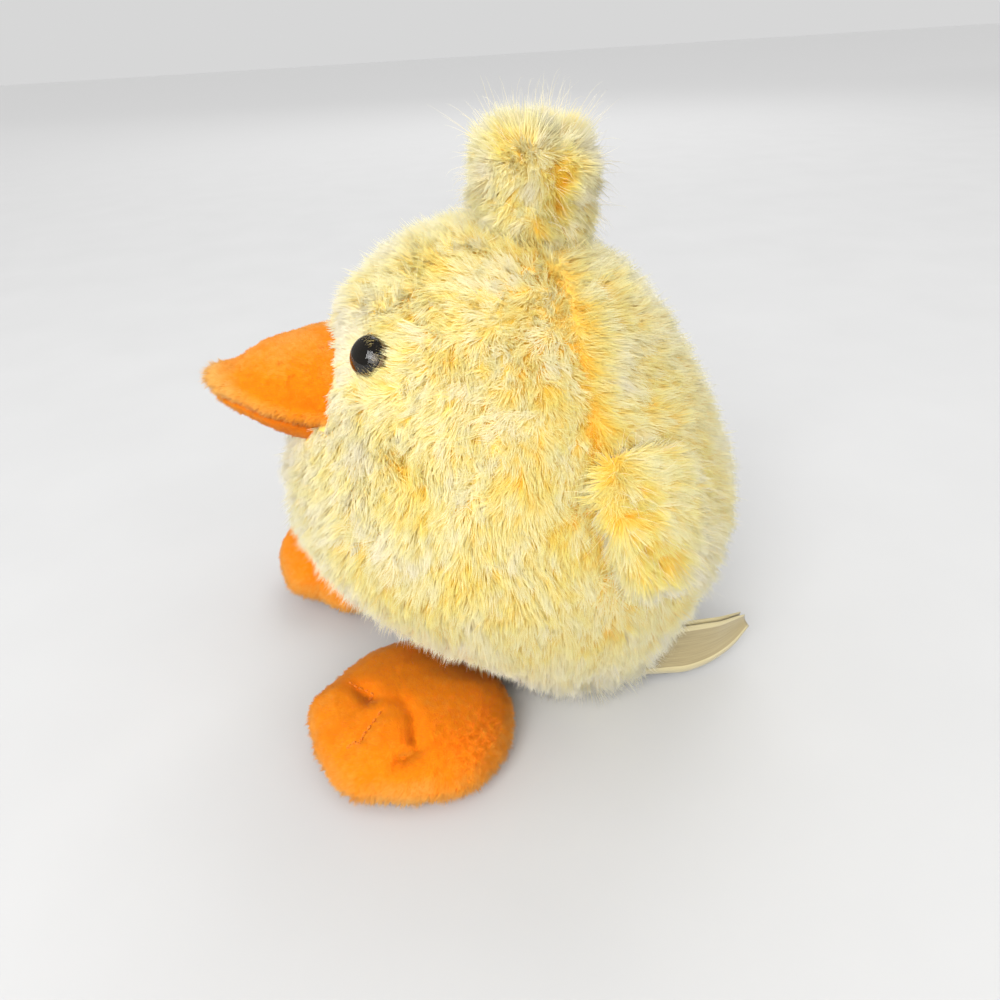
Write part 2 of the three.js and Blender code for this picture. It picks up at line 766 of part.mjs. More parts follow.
for (const [name, side] of [['left', 1], ['right', -1]]) {
  const wing = new THREE.Group();
  chick.add(wing);
  const panels = wingPanels(side);
  putSolid(`${name}_wing_outer_panel`, panels.outer, pile, wing);
  putSolid(`${name}_wing_inner_panel`, panels.inner, pile, wing);
  putSolid(`${name}_wing_filling`, panels.filling, fibre, wing);
}

for (const [name, side] of [['left', 1], ['right', -1]]) {
  const foot = new THREE.Group();
  chick.add(foot);
  const panels = footPanels(side);
  putSolid(`${name}_foot_upper`, panels.upper, velour, foot);
  putSolid(`${name}_foot_sole`, panels.sole, velour, foot);
  putSolid(`${name}_foot_filling`, panels.filling, fibre, foot);
  put(`${name}_foot_inner_toe_thread`, toeThread(side, -side * toeLineAngle), orangeThread, foot);
  put(`${name}_foot_outer_toe_thread`, toeThread(side, side * toeLineAngle), orangeThread, foot);
}

const label = new THREE.Group();
chick.add(label);
put('label_outer_leaf', labelLeafSolid(longLeafEdges, 2), satin, label);
put('label_middle_leaf', labelLeafSolid(longLeafEdges, 1), satin, label);
put('label_inner_leaf', labelLeafSolid(shortLeafEdges, 0), satin, label);

export default chick;
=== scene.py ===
import math

import bmesh
import bpy
import numpy as np
from mathutils import Matrix, Vector
from mathutils.bvhtree import BVHTree


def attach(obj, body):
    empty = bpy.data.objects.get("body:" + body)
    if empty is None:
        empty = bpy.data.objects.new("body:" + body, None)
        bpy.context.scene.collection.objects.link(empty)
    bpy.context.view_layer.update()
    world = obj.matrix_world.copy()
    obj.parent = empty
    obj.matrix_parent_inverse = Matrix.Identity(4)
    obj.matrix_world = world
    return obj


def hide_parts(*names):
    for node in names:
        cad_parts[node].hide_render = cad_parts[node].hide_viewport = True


# A plush chick on its weighted base. Metres, +Z up. It faces -Y, its own left side is +X,
# and the origin is the middle of its flat base, as in the frame.

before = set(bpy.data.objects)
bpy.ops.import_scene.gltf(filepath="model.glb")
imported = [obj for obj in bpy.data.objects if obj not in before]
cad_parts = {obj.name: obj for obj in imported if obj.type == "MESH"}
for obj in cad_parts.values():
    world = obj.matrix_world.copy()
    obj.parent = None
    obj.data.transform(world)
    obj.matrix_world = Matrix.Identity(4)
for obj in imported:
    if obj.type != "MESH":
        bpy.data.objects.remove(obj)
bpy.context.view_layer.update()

MM = 0.001

# Outline of the body over the lie of its pile
BODY_WIDTH = 159 * MM
BODY_DEPTH = 173 * MM
BODY_HEIGHT = 183 * MM
WIDEST_HEIGHT = 76 * MM
BASE_WIDTH = 93 * MM
BASE_DEPTH = 53 * MM
CROWN_ROUNDNESS = 1.64
BELLY_ROUNDNESS = 1.5
LEAN_FORWARD = 28.5 * MM
LEAN_HEIGHT = 145.5 * MM
SIDE_SEAM_Y = -8 * MM
BASE_SEAM_HEIGHT = 12 * MM
CORE = np.array([0.0, SIDE_SEAM_Y, 81 * MM])

# How far the cloth lies under the tips of its pile
CLOTH_DEPTH = 3.4 * MM
SKIN_COLUMNS = 144
SKIN_ROWS = 84
REACH_STEPS = 30

# How far the stuffing bulges the breast and the back out of the frame, from where up to where
BREAST_BULGE = 2.5 * MM
BACK_BULGE = 0.8 * MM
BULGE_FROM, BULGE_TO = 25 * MM, 80 * MM

# The stuffing's pressure, how many frames it works for, and the most that it may move a point
STUFFING_PRESSURE = 4
STUFFING_FRAMES = 20
STUFFING_CAP = 2 * MM

# Beak, from its root in the face to its tip: place on Y, half width, height of the mouth line,
# rise of the upper beak over it and drop of the lower beak under it
BEAK_STATIONS = [
    (-74, 29, 123.5, 28, 16),
    (-89, 29, 125, 25.5, 15),
    (-98.5, 27, 126.5, 22.5, 13.5),
    (-107.4, 23.5, 128.5, 19, 11.6),
    (-113.7, 19.8, 130.1, 14.9, 9.5),
    (-119, 15.5, 131.8, 10.2, 8),
    (-123.8, 11, 133.2, 8.4, 6.2),
    (-127, 7.5, 134.2, 6.6, 4.6),
    (-129, 3.5, 134.8, 4.4, 2.5),
]
BEAK_COLUMNS = 72
BEAK_RINGS = 40
LOWER_BEAK_TUCK = 0.92
BEAK_TIP = (0.0, -129.8 * MM, 136 * MM)
BEAK_MIDDLE = np.array([0, -100 * MM, 126 * MM])

# Topknot, from its foot in the crown to its top: height, middle on Y, half its width
KNOT_STATIONS = [
    (174, -13, 14),
    (177, -12.8, 16.5),
    (182, -12.3, 17.3),
    (190, -11.6, 18),
    (197, -11.3, 18.2),
    (202, -11.2, 16.8),
    (205.5, -11, 13),
    (207.3, -10.8, 7),
]
KNOT_COLUMNS = 64
KNOT_RINGS = 32
KNOT_SQUARENESS = 2.5
KNOT_NARROWING = 0.96
KNOT_LUMPS = 1.2 * MM
KNOT_FOOT = np.array([0, -12.5 * MM, 180 * MM])
KNOT_MIDDLE = np.array([0, -12 * MM, 192 * MM])
KNOT_SEAM_Y = -7.5 * MM

# Wing, seen from the side: places on Y and heights round its edge
WING_OUTLINE = [
    (-9.5, 120),
    (-12.5, 112),
    (-9.5, 100),
    (-6.5, 90),
    (-2, 79),
    (6, 72.5),
    (15, 71),
    (22, 76),
    (26, 86),
    (26.5, 98),
    (23, 110),
    (14, 118),
    (2, 121.5),
]
WING_COLUMNS = 72
WING_RINGS = 14
WING_PUFF = 9 * MM
WING_UNDERSIDE = 2.5 * MM
WING_CREASES = [[(86, -3.5, 114), (88, 2, 114), (87, 7, 111.5)], [(90, 0, 97), (90, 4, 93), (88, 8, 87)]]
WING_PATCH = (88, 5.5, 90)

# Eyes
EYE_BEARING = math.radians(26.9)
EYE_POLAR = math.radians(46.9)
EYE_DIAMETER = 14 * MM
EYE_DOME_HEIGHT = 5 * MM
PUPIL_DIAMETER = 9.4 * MM

# How far the pile keeps from the middle of an eye and from the beak
EYE_CLEARING = 7.6 * MM
BEAK_CLEARING = 2.5 * MM

# Feet
FOOT_HINGE_X = 36.9 * MM
FOOT_HINGE_Y = -45.57 * MM
FOOT_BEARING = math.radians(29)
FOOT_OUT = {"left": 37.5 * MM, "right": 39.3 * MM}
FOOT_SINK = {"left": 0.0, "right": 2.5 * MM}
FOOT_TURN = {"left": math.radians(8), "right": math.radians(15)}
FOOT_TILT = {"left": 0.0, "right": math.radians(10)}
FOOT_INNER_HALF = 41 * MM

# How the far foot lies off its frame: kicked out, forward and up, rolled and toed in
FAR_FOOT_KICK = Vector((-10 * MM, -6 * MM, 3 * MM))
FAR_FOOT_ROLL = math.radians(2)
FAR_FOOT_TOE_IN = math.radians(8)

# Share by which the stuffing swells or draws in the foot's outline, at bearings in degrees
# from straight ahead, outward
FOOT_SWELL = {
    "left": [
        (-150, 1.0),
        (-81, 1.05),
        (-47, 0.97),
        (-29, 1.0),
        (-15, 1.07),
        (6, 0.93),
        (32, 0.95),
        (49, 0.95),
        (72, 0.90),
        (100, 0.93),
        (116, 1.0),
        (128, 1.03),
    ],
    "right": [
        (-150, 1.0),
        (-81, 1.02),
        (-52, 1.07),
        (-30, 0.91),
        (-8, 1.07),
        (32, 0.98),
        (72, 0.95),
        (100, 0.97),
        (128, 1.0),
    ],
}
FOOT_TOP = 24 * MM

# Lines on the top of a foot, aside from its middle and back from it: the two rows of toe stitches,
# of which the inner one lies deep in its fold, and the fold across their ends
INNER_TOE_LINE = [(-11.5, -25), (-6, -19.5), (0.4, -14)]
OUTER_TOE_LINE = [(7.8, -9.7), (16, -16.4), (19.8, -19.8), (22.5, -24.5)]
CROSS_FOLD = [(2.6, -6.9), (5.3, -1.1), (11.4, 1.7), (19.4, 2.6), (24.5, 3.8), (27.3, 1.4), (29.5, -2.5)]

# Stitches: pitch, length and half thickness of one, and how far the toe rows lie up in the pile
TOE_STITCH = (3.2 * MM, 2.2 * MM, 0.45 * MM)
TOE_STITCH_LIFT = 0.7 * MM
CLOSING_STITCH = (4.4 * MM, 3 * MM, 0.5 * MM)
CLOSING_LOW, CLOSING_HIGH = 46 * MM, 102 * MM

SIDES = {"left": 1, "right": -1}


def paint(red, green, blue):
    """A colour as it looks, from 0 to 1, for a shader's socket."""
    return tuple(((c + 0.055) / 1.055) ** 2.4 if c > 0.04 else c / 12.92 for c in (red, green, blue)) + (1.0,)


def grey(level):
    return (level, level, level, 1)


# Node trees


class Wire:
    """A node's output, on which sums can be written."""

    def __init__(self, recipe, socket):
        self.recipe = recipe
        self.socket = socket

    def out(self, name):
        """Another output of the same node."""
        return Wire(self.recipe, pick(self.socket.node.outputs, name))

    def __add__(self, other):
        return self.recipe.sum("ADD", self, other)

    __radd__ = __add__

    def __sub__(self, other):
        return self.recipe.sum("SUBTRACT", self, other)

    def __rsub__(self, other):
        return self.recipe.sum("SUBTRACT", other, self)

    def __mul__(self, other):
        return self.recipe.sum("MULTIPLY", self, other)

    __rmul__ = __mul__

    def __pow__(self, other):
        return self.recipe.sum("POWER", self, other)


def pick(sockets, name):
    """The socket of that name or number which its node's settings leave in use."""
    if isinstance(name, int):
        return sockets[name]
    return next(s for s in sockets if s.name == name and s.enabled)


class Recipe:
    """Builds a node tree from expressions."""

    def __init__(self, tree):
        self.tree = tree

    def node(self, kind, settings=None, inputs=None, output=0):
        made = self.tree.nodes.new(kind)
        for name, value in (settings or {}).items():
            if name == "stops":
                self.set_stops(made.color_ramp, value)
            else:
                setattr(made, name, value)
        for name, value in (inputs or {}).items():
            self.feed(pick(made.inputs, name), value)
        if isinstance(output, int):
            output = [s for s in made.outputs if s.enabled][output].name if made.outputs else None
        return Wire(self, pick(made.outputs, output)) if output is not None else made

    def feed(self, socket, value):
        if isinstance(value, Wire):
            self.tree.links.new(value.socket, socket)
        else:
            socket.default_value = value

    def set_stops(self, ramp, stops):
        while len(ramp.elements) < len(stops):
            ramp.elements.new(1.0)
        for element, (place, colour) in zip(ramp.elements, stops):
            element.position = place
            element.color = colour

    def sum(self, operation, first, second):
        is_arrow = [isinstance(w, Wire) and w.socket.type == "VECTOR" for w in (first, second)]
        if not any(is_arrow):
            return self.node("ShaderNodeMath", {"operation": operation}, {0: first, 1: second})
        if operation == "MULTIPLY" and not all(is_arrow):
            arrow, number = (first, second) if is_arrow[0] else (second, first)
            return self.node("ShaderNodeVectorMath", {"operation": "SCALE"}, {0: arrow, "Scale": number})
        return self.node("ShaderNodeVectorMath", {"operation": operation}, {0: first, 1: second})

    def number(self, operation, value):
        return self.node("ShaderNodeMath", {"operation": operation}, {0: value})

    def arrows(self, operation, *operands, output=0):
        return self.node("ShaderNodeVectorMath", {"operation": operation}, dict(enumerate(operands)), output)

    def ease(self, value, low, high, to_low=0.0, to_high=1.0):
        """Runs smoothly from to_low to to_high while value goes from low to high."""
        return self.node(
            "ShaderNodeMapRange",
            {"interpolation_type": "SMOOTHSTEP"},
            {"Value": value, "From Min": low, "From Max": high, "To Min": to_low, "To Max": to_high},
        )

    def mix(self, share, first, second):
        """A colour between two others."""
        made = self.tree.nodes.new("ShaderNodeMix")
        made.data_type = "RGBA"
        for socket, value in ((made.inputs[0], share), (made.inputs[6], first), (made.inputs[7], second)):
            self.feed(socket, value)
        return Wire(self, made.outputs[2])


# Finishes


def finish(name, roughness, sheen=0.0):
    """A new material, its recipe and its shader."""
    material = bpy.data.materials.new(name)
    material.use_nodes = True
    recipe = Recipe(material.node_tree)
    shader = material.node_tree.nodes["Principled BSDF"]
    shader.inputs["Roughness"].default_value = roughness
    shader.inputs["Sheen Weight"].default_value = sheen
    shader.inputs["Sheen Roughness"].default_value = 0.5
    if roughness >= 0.8:
        shader.inputs["Specular IOR Level"].default_value = 0.15
    return material, recipe, shader


def noise(recipe, place, scale, detail=3.0, roughness=0.5):
    inputs = {"Vector": place, "Scale": scale, "Detail": detail, "Roughness": roughness}
    return recipe.node("ShaderNodeTexNoise", None, inputs)


def bump(recipe, shader, height, distance, strength=1.0):
    inputs = {"Strength": strength, "Distance": distance, "Height": height}
    lifted = recipe.node("ShaderNodeBump", None, inputs)
    recipe.feed(shader.inputs["Normal"], lifted)


def object_place(recipe):
    return recipe.node("ShaderNodeTexCoord", output="Object")


def pile_with_dye_and_painted_light(name, root_stops, tip_stops, tip_from, tip_to, roughness, sheen):
    """Fibres dyed through: the first coordinate is how much dye a fibre took, with painted shade and painted
    highlight added to it in places; the second runs to its tip.
    """
    material, recipe, shader = finish(name, roughness, sheen)
    place = recipe.node("ShaderNodeUVMap", {"uv_map": "OFBake"})
    parts = recipe.node("ShaderNodeSeparateXYZ", None, {"Vector": place})
    dye, reach = parts, parts.out("Y")
    root = recipe.node("ShaderNodeValToRGB", {"stops": root_stops}, {"Fac": dye})
    tip = recipe.node("ShaderNodeValToRGB", {"stops": tip_stops}, {"Fac": dye})
    recipe.feed(shader.inputs["Base Color"], recipe.mix(recipe.ease(reach, tip_from, tip_to), root, tip))
    return material


pile_fibre = pile_with_dye_and_painted_light(
    "pile_fibre",
    root_stops=[
        (0.0, paint(0.99, 0.93, 0.74)),
        (0.3, paint(1.0, 0.90, 0.55)),
        (0.6, paint(1.0, 0.81, 0.30)),
        (1.0, paint(1.0, 0.66, 0.10)),
    ],
    tip_stops=[
        (0.0, paint(1.0, 0.965, 0.85)),
        (0.3, paint(1.0, 0.97, 0.74)),
        (0.6, paint(1.0, 0.945, 0.54)),
        (1.0, paint(1.0, 0.84, 0.24)),
    ],
    tip_from=0.2,
    tip_to=0.95,
    roughness=0.8,
    sheen=0.45,
)

# Its brown last stops are painted shade, reached where painted shade deepens the colour most: the mouth line
# and the folds.
velour_fibre = pile_with_dye_and_painted_light(
    "velour_fibre",
    root_stops=[
        (0.0, paint(0.95, 0.66, 0.28)),
        (0.5, paint(0.97, 0.56, 0.05)),
        (0.9, paint(0.97, 0.48, 0.01)),
        (1.0, paint(0.66, 0.34, 0.08)),
    ],
    tip_stops=[
        (0.0, paint(0.97, 0.74, 0.40)),
        (0.5, paint(0.99, 0.59, 0.06)),
        (0.9, paint(0.99, 0.51, 0.01)),
        (1.0, paint(0.78, 0.45, 0.13)),
    ],
    tip_from=0.2,
    tip_to=1.0,
    roughness=0.9,
    sheen=0.08,
)


def knitted_ground(name, pale, deep, scale):
    """The backing cloth under a pile: blotches of dye over a fine knit."""
    material, recipe, shader = finish(name, 0.9, 0.3)
    place = object_place(recipe)
    blotch = noise(recipe, place, scale)
    recipe.feed(shader.inputs["Base Color"], recipe.mix(recipe.ease(blotch, 0.35, 0.65), pale, deep))
    knit = recipe.node("ShaderNodeTexVoronoi", None, {"Vector": place, "Scale": 1 / (0.6 * MM)})
    bump(recipe, shader, knit, 0.2 * MM, 0.6)
    return material


pile_ground = knitted_ground("pile_ground", paint(1.0, 0.87, 0.45), paint(1.0, 0.76, 0.30), 70)
velour_ground = knitted_ground("velour_ground", paint(0.96, 0.54, 0.08), paint(0.95, 0.49, 0.03), 60)


def plain_cloth(name, pale, deep, pitch):
    """Woven cloth or twisted thread."""
    material, recipe, shader = finish(name, 0.9, 0.2)
    place = object_place(recipe)
    weave = noise(recipe, place, 1 / pitch, 4.0)
    recipe.feed(shader.inputs["Base Color"], recipe.mix(recipe.ease(weave, 0.4, 0.6), pale, deep))
    bump(recipe, shader, weave, 0.3 * MM)
    return material


calico = plain_cloth("calico", paint(0.93, 0.90, 0.82), paint(0.86, 0.82, 0.72), 0.8 * MM)
yellow_thread = plain_cloth("yellow_thread", paint(0.98, 0.88, 0.50), paint(0.92, 0.76, 0.36), 0.5 * MM)
orange_thread = plain_cloth("orange_thread", paint(0.93, 0.52, 0.10), paint(0.82, 0.42, 0.06), 0.5 * MM)


def beads(name, pale, deep):
    material, recipe, shader = finish(name, 0.45)
    place = object_place(recipe)
    bead = recipe.node("ShaderNodeTexVoronoi", None, {"Vector": place, "Scale": 1 / (3 * MM)})
    recipe.feed(shader.inputs["Base Color"], recipe.mix(recipe.ease(bead, 0.1, 0.5), pale, deep))
    bump(recipe, shader, 1 - bead, 1.5 * MM)
    return material


pellets = beads("pellets", paint(0.88, 0.89, 0.90), paint(0.70, 0.72, 0.74))


def moulded(name, pale, deep, roughness):
    """Moulded plastic with a faint flow in its colour and fine scuffs in its gloss."""
    material, recipe, shader = finish(name, roughness)
    place = object_place(recipe)
    flow = noise(recipe, place, 180, 4.0)
    recipe.feed(shader.inputs["Base Color"], recipe.mix(flow, pale, deep))
    scuff = noise(recipe, place, 1500, 2.0)
    recipe.feed(shader.inputs["Roughness"], recipe.ease(scuff, 0.3, 0.8, roughness * 0.8, roughness * 1.5))
    return material


black_plastic = moulded("black_plastic", paint(0.03, 0.02, 0.02), paint(0.06, 0.04, 0.03), 0.08)
nylon = moulded("nylon", paint(0.92, 0.91, 0.87), paint(0.86, 0.85, 0.80), 0.4)
bronze_iris = moulded("bronze_iris", paint(0.62, 0.50, 0.33), paint(0.42, 0.31, 0.18), 0.25)

amber_lens, recipe, shader = finish("amber_lens", 0.02)
shader.inputs["Transmission Weight"].default_value = 1.0
shader.inputs["IOR"].default_value = 1.49
cloud = noise(recipe, object_place(recipe), 260)
recipe.feed(
    shader.inputs["Base Color"], recipe.mix(cloud, paint(0.97, 0.93, 0.86), paint(0.92, 0.84, 0.70))
)


RIBBON_RIBS = 46


def ribbon_satin():
    """Satin ribbon: lengthwise ribs and faint slubs along it, by the leaf's own flat places."""
    material, recipe, shader = finish("satin_ribbon", 0.42, 0.3)
    place = recipe.node("ShaderNodeUVMap", {"uv_map": "OFBake"})
    parts = recipe.node("ShaderNodeSeparateXYZ", None, {"Vector": place})
    along, across = parts, parts.out("Y")
    stretched = recipe.node("ShaderNodeCombineXYZ", None, {"X": along * 2.0, "Y": across * 60.0})
    slub = noise(recipe, stretched, 1.0, 5.0, 0.7)
    rib = recipe.number("SINE", across * 2 * math.pi * RIBBON_RIBS)
    edge = recipe.number("ABSOLUTE", across - 0.5)
    shade = recipe.ease(slub, 0.35, 0.7)
    body = recipe.mix(shade, paint(0.66, 0.60, 0.44), paint(0.55, 0.49, 0.34))
    bound = recipe.ease(edge, 0.36, 0.38)
    from_hem = recipe.number("ABSOLUTE", edge - 0.37)
    hem = recipe.ease(from_hem, 0.0, 0.012, 1.0, 0.0)
    body = recipe.mix(bound * 0.6, body, paint(0.84, 0.79, 0.61))
    body = recipe.mix(hem * 0.6, body, paint(0.48, 0.40, 0.25))
    recipe.feed(shader.inputs["Base Color"], body)
    bump(recipe, shader, rib * 0.3 + slub, 0.12 * MM, 0.5)
    return material


satin_ribbon = ribbon_satin()

# Forms


def link(name, mesh):
    made = bpy.data.objects.new(name, mesh)
    bpy.context.scene.collection.objects.link(made)
    return made


def evaluated_mesh(holder, keep_layers=False):
    """The holder's mesh with its modifiers applied."""
    graph = bpy.context.evaluated_depsgraph_get()
    return bpy.data.meshes.new_from_object(
        holder.evaluated_get(graph), preserve_all_data_layers=keep_layers, depsgraph=graph
    )


def bake_modifiers(holder, keep_layers=False):
    mesh = evaluated_mesh(holder, keep_layers)
    holder.modifiers.clear()
    holder.data = mesh
    return holder


def subdivide(holder):
    """Splits each face of a form in four, and returns its new mesh."""
    finer = holder.modifiers.new("finer", "SUBSURF")
    finer.levels = finer.render_levels = 1
    bake_modifiers(holder)
    holder.data.shade_smooth()
    return holder.data


def smoothstep(value, low, high):
    t = np.clip((value - low) / (high - low), 0, 1)
    return t * t * (3 - 2 * t)


def hill(gap, width):
    """1 where the gap is none, falling to nothing over a few widths."""
    return np.exp(-((gap / width) ** 2))


def points_of(mesh):
    places = np.empty(len(mesh.vertices) * 3)
    mesh.vertices.foreach_get("co", places)
    return places.reshape(-1, 3)


def normals_of(mesh):
    arrows = np.empty(len(mesh.vertices) * 3, np.float32)
    mesh.vertex_normals.foreach_get("vector", arrows)
    return arrows.reshape(-1, 3).astype(float)


def move_points(mesh, places):
    mesh.vertices.foreach_set("co", places.ravel())
    mesh.update()


def closed_rings(name, first_pole, rings, last_pole):
    """A closed form from a pole, rings of equal count and another pole, facing out."""
    count = len(rings[0])
    places = np.vstack([[first_pole], *rings, [last_pole]])
    last = len(places) - 1
    faces = []
    for i in range(count):
        following = (i + 1) % count
        faces.append((0, 1 + i, 1 + following))
        for row in range(len(rings) - 1):
            upper = 1 + row * count
            faces.append((upper + i, upper + count + i, upper + count + following, upper + following))
        foot = 1 + (len(rings) - 1) * count
        faces.append((foot + i, last, foot + following))
    mesh = bpy.data.meshes.new(name)
    mesh.from_pydata(places.tolist(), [], faces)
    tidy = bmesh.new()
    tidy.from_mesh(mesh)
    bmesh.ops.recalc_face_normals(tidy, faces=tidy.faces)
    tidy.to_mesh(mesh)
    tidy.free()
    mesh.shade_smooth()
    return mesh


def lean(height):
    share = height / LEAN_HEIGHT
    return -LEAN_FORWARD * (2 * share - share * share)


def body_slice(height, inset):
    """Half width and half depth of the body at a height, the inset under the tips of its pile."""
    up = np.clip((height - WIDEST_HEIGHT) / (BODY_HEIGHT - inset - WIDEST_HEIGHT), 0, 1)
    down = np.clip((WIDEST_HEIGHT - height) / (WIDEST_HEIGHT - inset), 0, 1)
    crown = np.sqrt(1 - up**CROWN_ROUNDNESS)
    belly = (1 - down**BELLY_ROUNDNESS) ** (1 / BELLY_ROUNDNESS)
    above = height >= WIDEST_HEIGHT

    def half(widest, base):
        return np.where(above, (widest / 2 - inset) * crown, base / 2 - inset + (widest - base) / 2 * belly)

    return half(BODY_WIDTH, BASE_WIDTH), half(BODY_DEPTH, BASE_DEPTH)


def in_body(places, inset):
    x, y, z = places.T
    width, depth = body_slice(z, inset)
    tiny = 1e-9
    round_about = (x / (width + tiny)) ** 2 + ((y - lean(z)) / (depth + tiny)) ** 2
    return (round_about < 1) & (z > inset) & (z < BODY_HEIGHT - inset)


def heading(bearing, polar):
    return np.stack(
        [np.sin(polar) * np.sin(bearing), -np.sin(polar) * np.cos(bearing), np.cos(polar) + 0 * bearing], -1
    )


def on_body(directions, inset):
    """Where rays from the middle of the body meet its surface."""
    near = np.zeros(len(directions))
    far = np.full(len(directions), 2 * BODY_HEIGHT)
    for _ in range(REACH_STEPS):
        middle = (near + far) / 2
        inside = in_body(CORE + directions * middle[:, None], inset)
        near = np.where(inside, middle, near)
        far = np.where(inside, far, middle)
    return CORE + directions * near[:, None]


def body_form():
    """The body's cloth, with a line of points along the side seams and the middle seams."""
    bearings = np.arange(SKIN_COLUMNS) * 2 * math.pi / SKIN_COLUMNS
    polars = [math.pi * (row + 1) / (SKIN_ROWS + 1) for row in range(SKIN_ROWS)]
    rings = [on_body(heading(bearings, polar), CLOTH_DEPTH) for polar in polars]
    top, bottom = on_body(heading(np.zeros(2), np.array([0.0, math.pi])), CLOTH_DEPTH)
    return closed_rings("body_cushion", top, rings, bottom)


def even_form(name, mesh, voxel, inset):
    """One even closed form a little inside the outline of a mesh's closed bodies."""
    holder = link(name, mesh)
    even = holder.modifiers.new("even", "REMESH")
    even.mode = "VOXEL"
    even.voxel_size = voxel
    soften = holder.modifiers.new("soften", "SMOOTH")
    soften.iterations = 4
    bake_modifiers(holder)
    move_points(holder.data, points_of(holder.data) - normals_of(holder.data) * inset)
    holder.data.shade_smooth()
    return holder


def frame_form(name, nodes, voxel, inset):
    """One form round the frame's solids of a stuffed piece."""
    joined = bmesh.new()
    for node in nodes:
        joined.from_mesh(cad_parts[node].data)
    mesh = bpy.data.meshes.new(name)
    joined.to_mesh(mesh)
    joined.free()
    return even_form(name, mesh, voxel, inset)


def smooth_line(points, count):
    """Even steps along a smooth line through the points."""
    points = np.array(points, float)
    padded_ends = np.vstack([2 * points[0] - points[1], points, 2 * points[-1] - points[-2]])
    steps = np.linspace(0, len(points) - 1, count)
    index = np.minimum(steps.astype(int), len(points) - 2)
    t = (steps - index)[:, None]
    a, b, c, d = (padded_ends[index + i] for i in range(4))
    return 0.5 * (2 * b + (c - a) * t + (2 * a - 5 * b + 4 * c - d) * t**2 + (3 * b - a - 3 * c + d) * t**3)


def beak_form():
    """The stuffed beak: an upper beak over a thinner one, which is tucked in under it."""
    angles = np.arange(BEAK_COLUMNS) * 2 * math.pi / BEAK_COLUMNS
    cosine, sine = np.cos(angles), np.sin(angles)
    rings = []
    for place, half, mouth, rise, drop in smooth_line(BEAK_STATIONS, BEAK_RINGS) * MM:
        wide = half * cosine * np.where(sine < -0.01, LOWER_BEAK_TUCK, 1.0)
        high = mouth + sine * np.where(sine > 0, rise, drop)
        rings.append(np.stack([wide, np.full(BEAK_COLUMNS, place), high], -1))
    root = (0, BEAK_STATIONS[0][0] * MM, BEAK_STATIONS[0][2] * MM)
    return closed_rings("beak_cushion", root, rings, BEAK_TIP)


def topknot_form():
    """The stuffed topknot, a blunt round-cornered block."""
    angles = np.arange(KNOT_COLUMNS) * 2 * math.pi / KNOT_COLUMNS
    cosine, sine = np.cos(angles), np.sin(angles)
    bulk = (np.abs(cosine) ** KNOT_SQUARENESS + np.abs(sine) ** KNOT_SQUARENESS) ** (-1 / KNOT_SQUARENESS)
    stations = smooth_line(KNOT_STATIONS, KNOT_RINGS) * MM
    rings = [
        np.stack([half * KNOT_NARROWING * bulk * cosine, middle + half * bulk * sine, 0 * bulk + height], -1)
        for height, middle, half in stations
    ]
    low, high = stations[0], stations[-1]
    return closed_rings("topknot", (0, low[1], low[0]), rings, (0, high[1], high[0] + 0.5 * MM))


def wing_form(name, sign):
    """The stuffed wing, a pillow that lies along the side of the body."""
    around = smooth_line(WING_OUTLINE + WING_OUTLINE[:1], WING_COLUMNS + 1)[:-1] * MM
    middle = around.mean(0)

    def ring(share, rise):
        spots = middle + (around - middle) * share
        width, depth = body_slice(spots[:, 1], 0)
        side = width * np.sqrt(np.clip(1 - ((spots[:, 0] - lean(spots[:, 1])) / depth) ** 2, 0.01, 1))
        return np.stack([sign * (side + rise), spots[:, 0], spots[:, 1]], -1)

    shares = np.sin(np.linspace(0.12, math.pi / 2, WING_RINGS))
    puffs = np.sqrt(1 - shares**2.6)
    outer = [ring(share, WING_PUFF * puff) for share, puff in zip(shares, puffs)]
    inner = [ring(share, -WING_UNDERSIDE * puff) for share, puff in zip(shares[-2::-1], puffs[-2::-1])]
    return closed_rings(name, ring(0.0, WING_PUFF)[0], outer + inner, ring(0.0, -WING_UNDERSIDE)[0])


def add_swelling(holder, held=None):
    """Cloth that its stuffing will swell. held is a number for each point, 1 where a seam holds it."""
    cloth = holder.modifiers.new("stuffing", "CLOTH")
    cloth.settings.quality = 5
    cloth.settings.mass = 0.05
    cloth.settings.use_pressure = True
    cloth.settings.uniform_pressure_force = STUFFING_PRESSURE
    cloth.settings.effector_weights.gravity = 0
    cloth.collision_settings.use_collision = False
    cloth.point_cache.frame_start = 1
    cloth.point_cache.frame_end = STUFFING_FRAMES
    if held is not None:
        group = holder.vertex_groups.new(name="held")
        for index in np.nonzero(held > 0.01)[0]:
            group.add([int(index)], float(held[index]), "REPLACE")
        cloth.settings.vertex_group_mass = "held"


def swell(holders, cap):
    """Steps all the cloth at once and keeps each form with its points moved by no more than the cap."""
    scene = bpy.context.scene
    before = {holder: points_of(holder.data) for holder in holders}
    for step in range(1, STUFFING_FRAMES + 1):
        scene.frame_set(step)
    swollen = {holder: points_of(evaluated_mesh(holder)) for holder in holders}
    scene.frame_set(1)
    for holder, places in swollen.items():
        moved = places - before[holder]
        far = np.linalg.norm(moved, axis=1)
        moved *= np.minimum(1, cap / np.maximum(far, 1e-9))[:, None]
        holder.modifiers.clear()
        holder.vertex_groups.clear()
        move_points(holder.data, before[holder] + moved)


def near(places, spot, radius):
    return hill(np.linalg.norm(places - np.array(spot), axis=1), radius)


def tree_of(mesh):
    work = bmesh.new()
    work.from_mesh(mesh)
    tree = BVHTree.FromBMesh(work)
    work.free()
    return tree


def line_on(mesh, path, count=40):
    """Even steps along a smooth line, each brought to the nearest of the form's surface."""
    tree = tree_of(mesh)
    return np.array([tree.find_nearest(Vector(spot))[0][:] for spot in smooth_line(path, count)])


def gap_to(places, spots):
    """Distance of each place from the nearest of some spots."""
    best = np.full(len(places), 1.0)
    for spot in spots:
        best = np.minimum(best, np.linalg.norm(places - spot, axis=1))
    return best


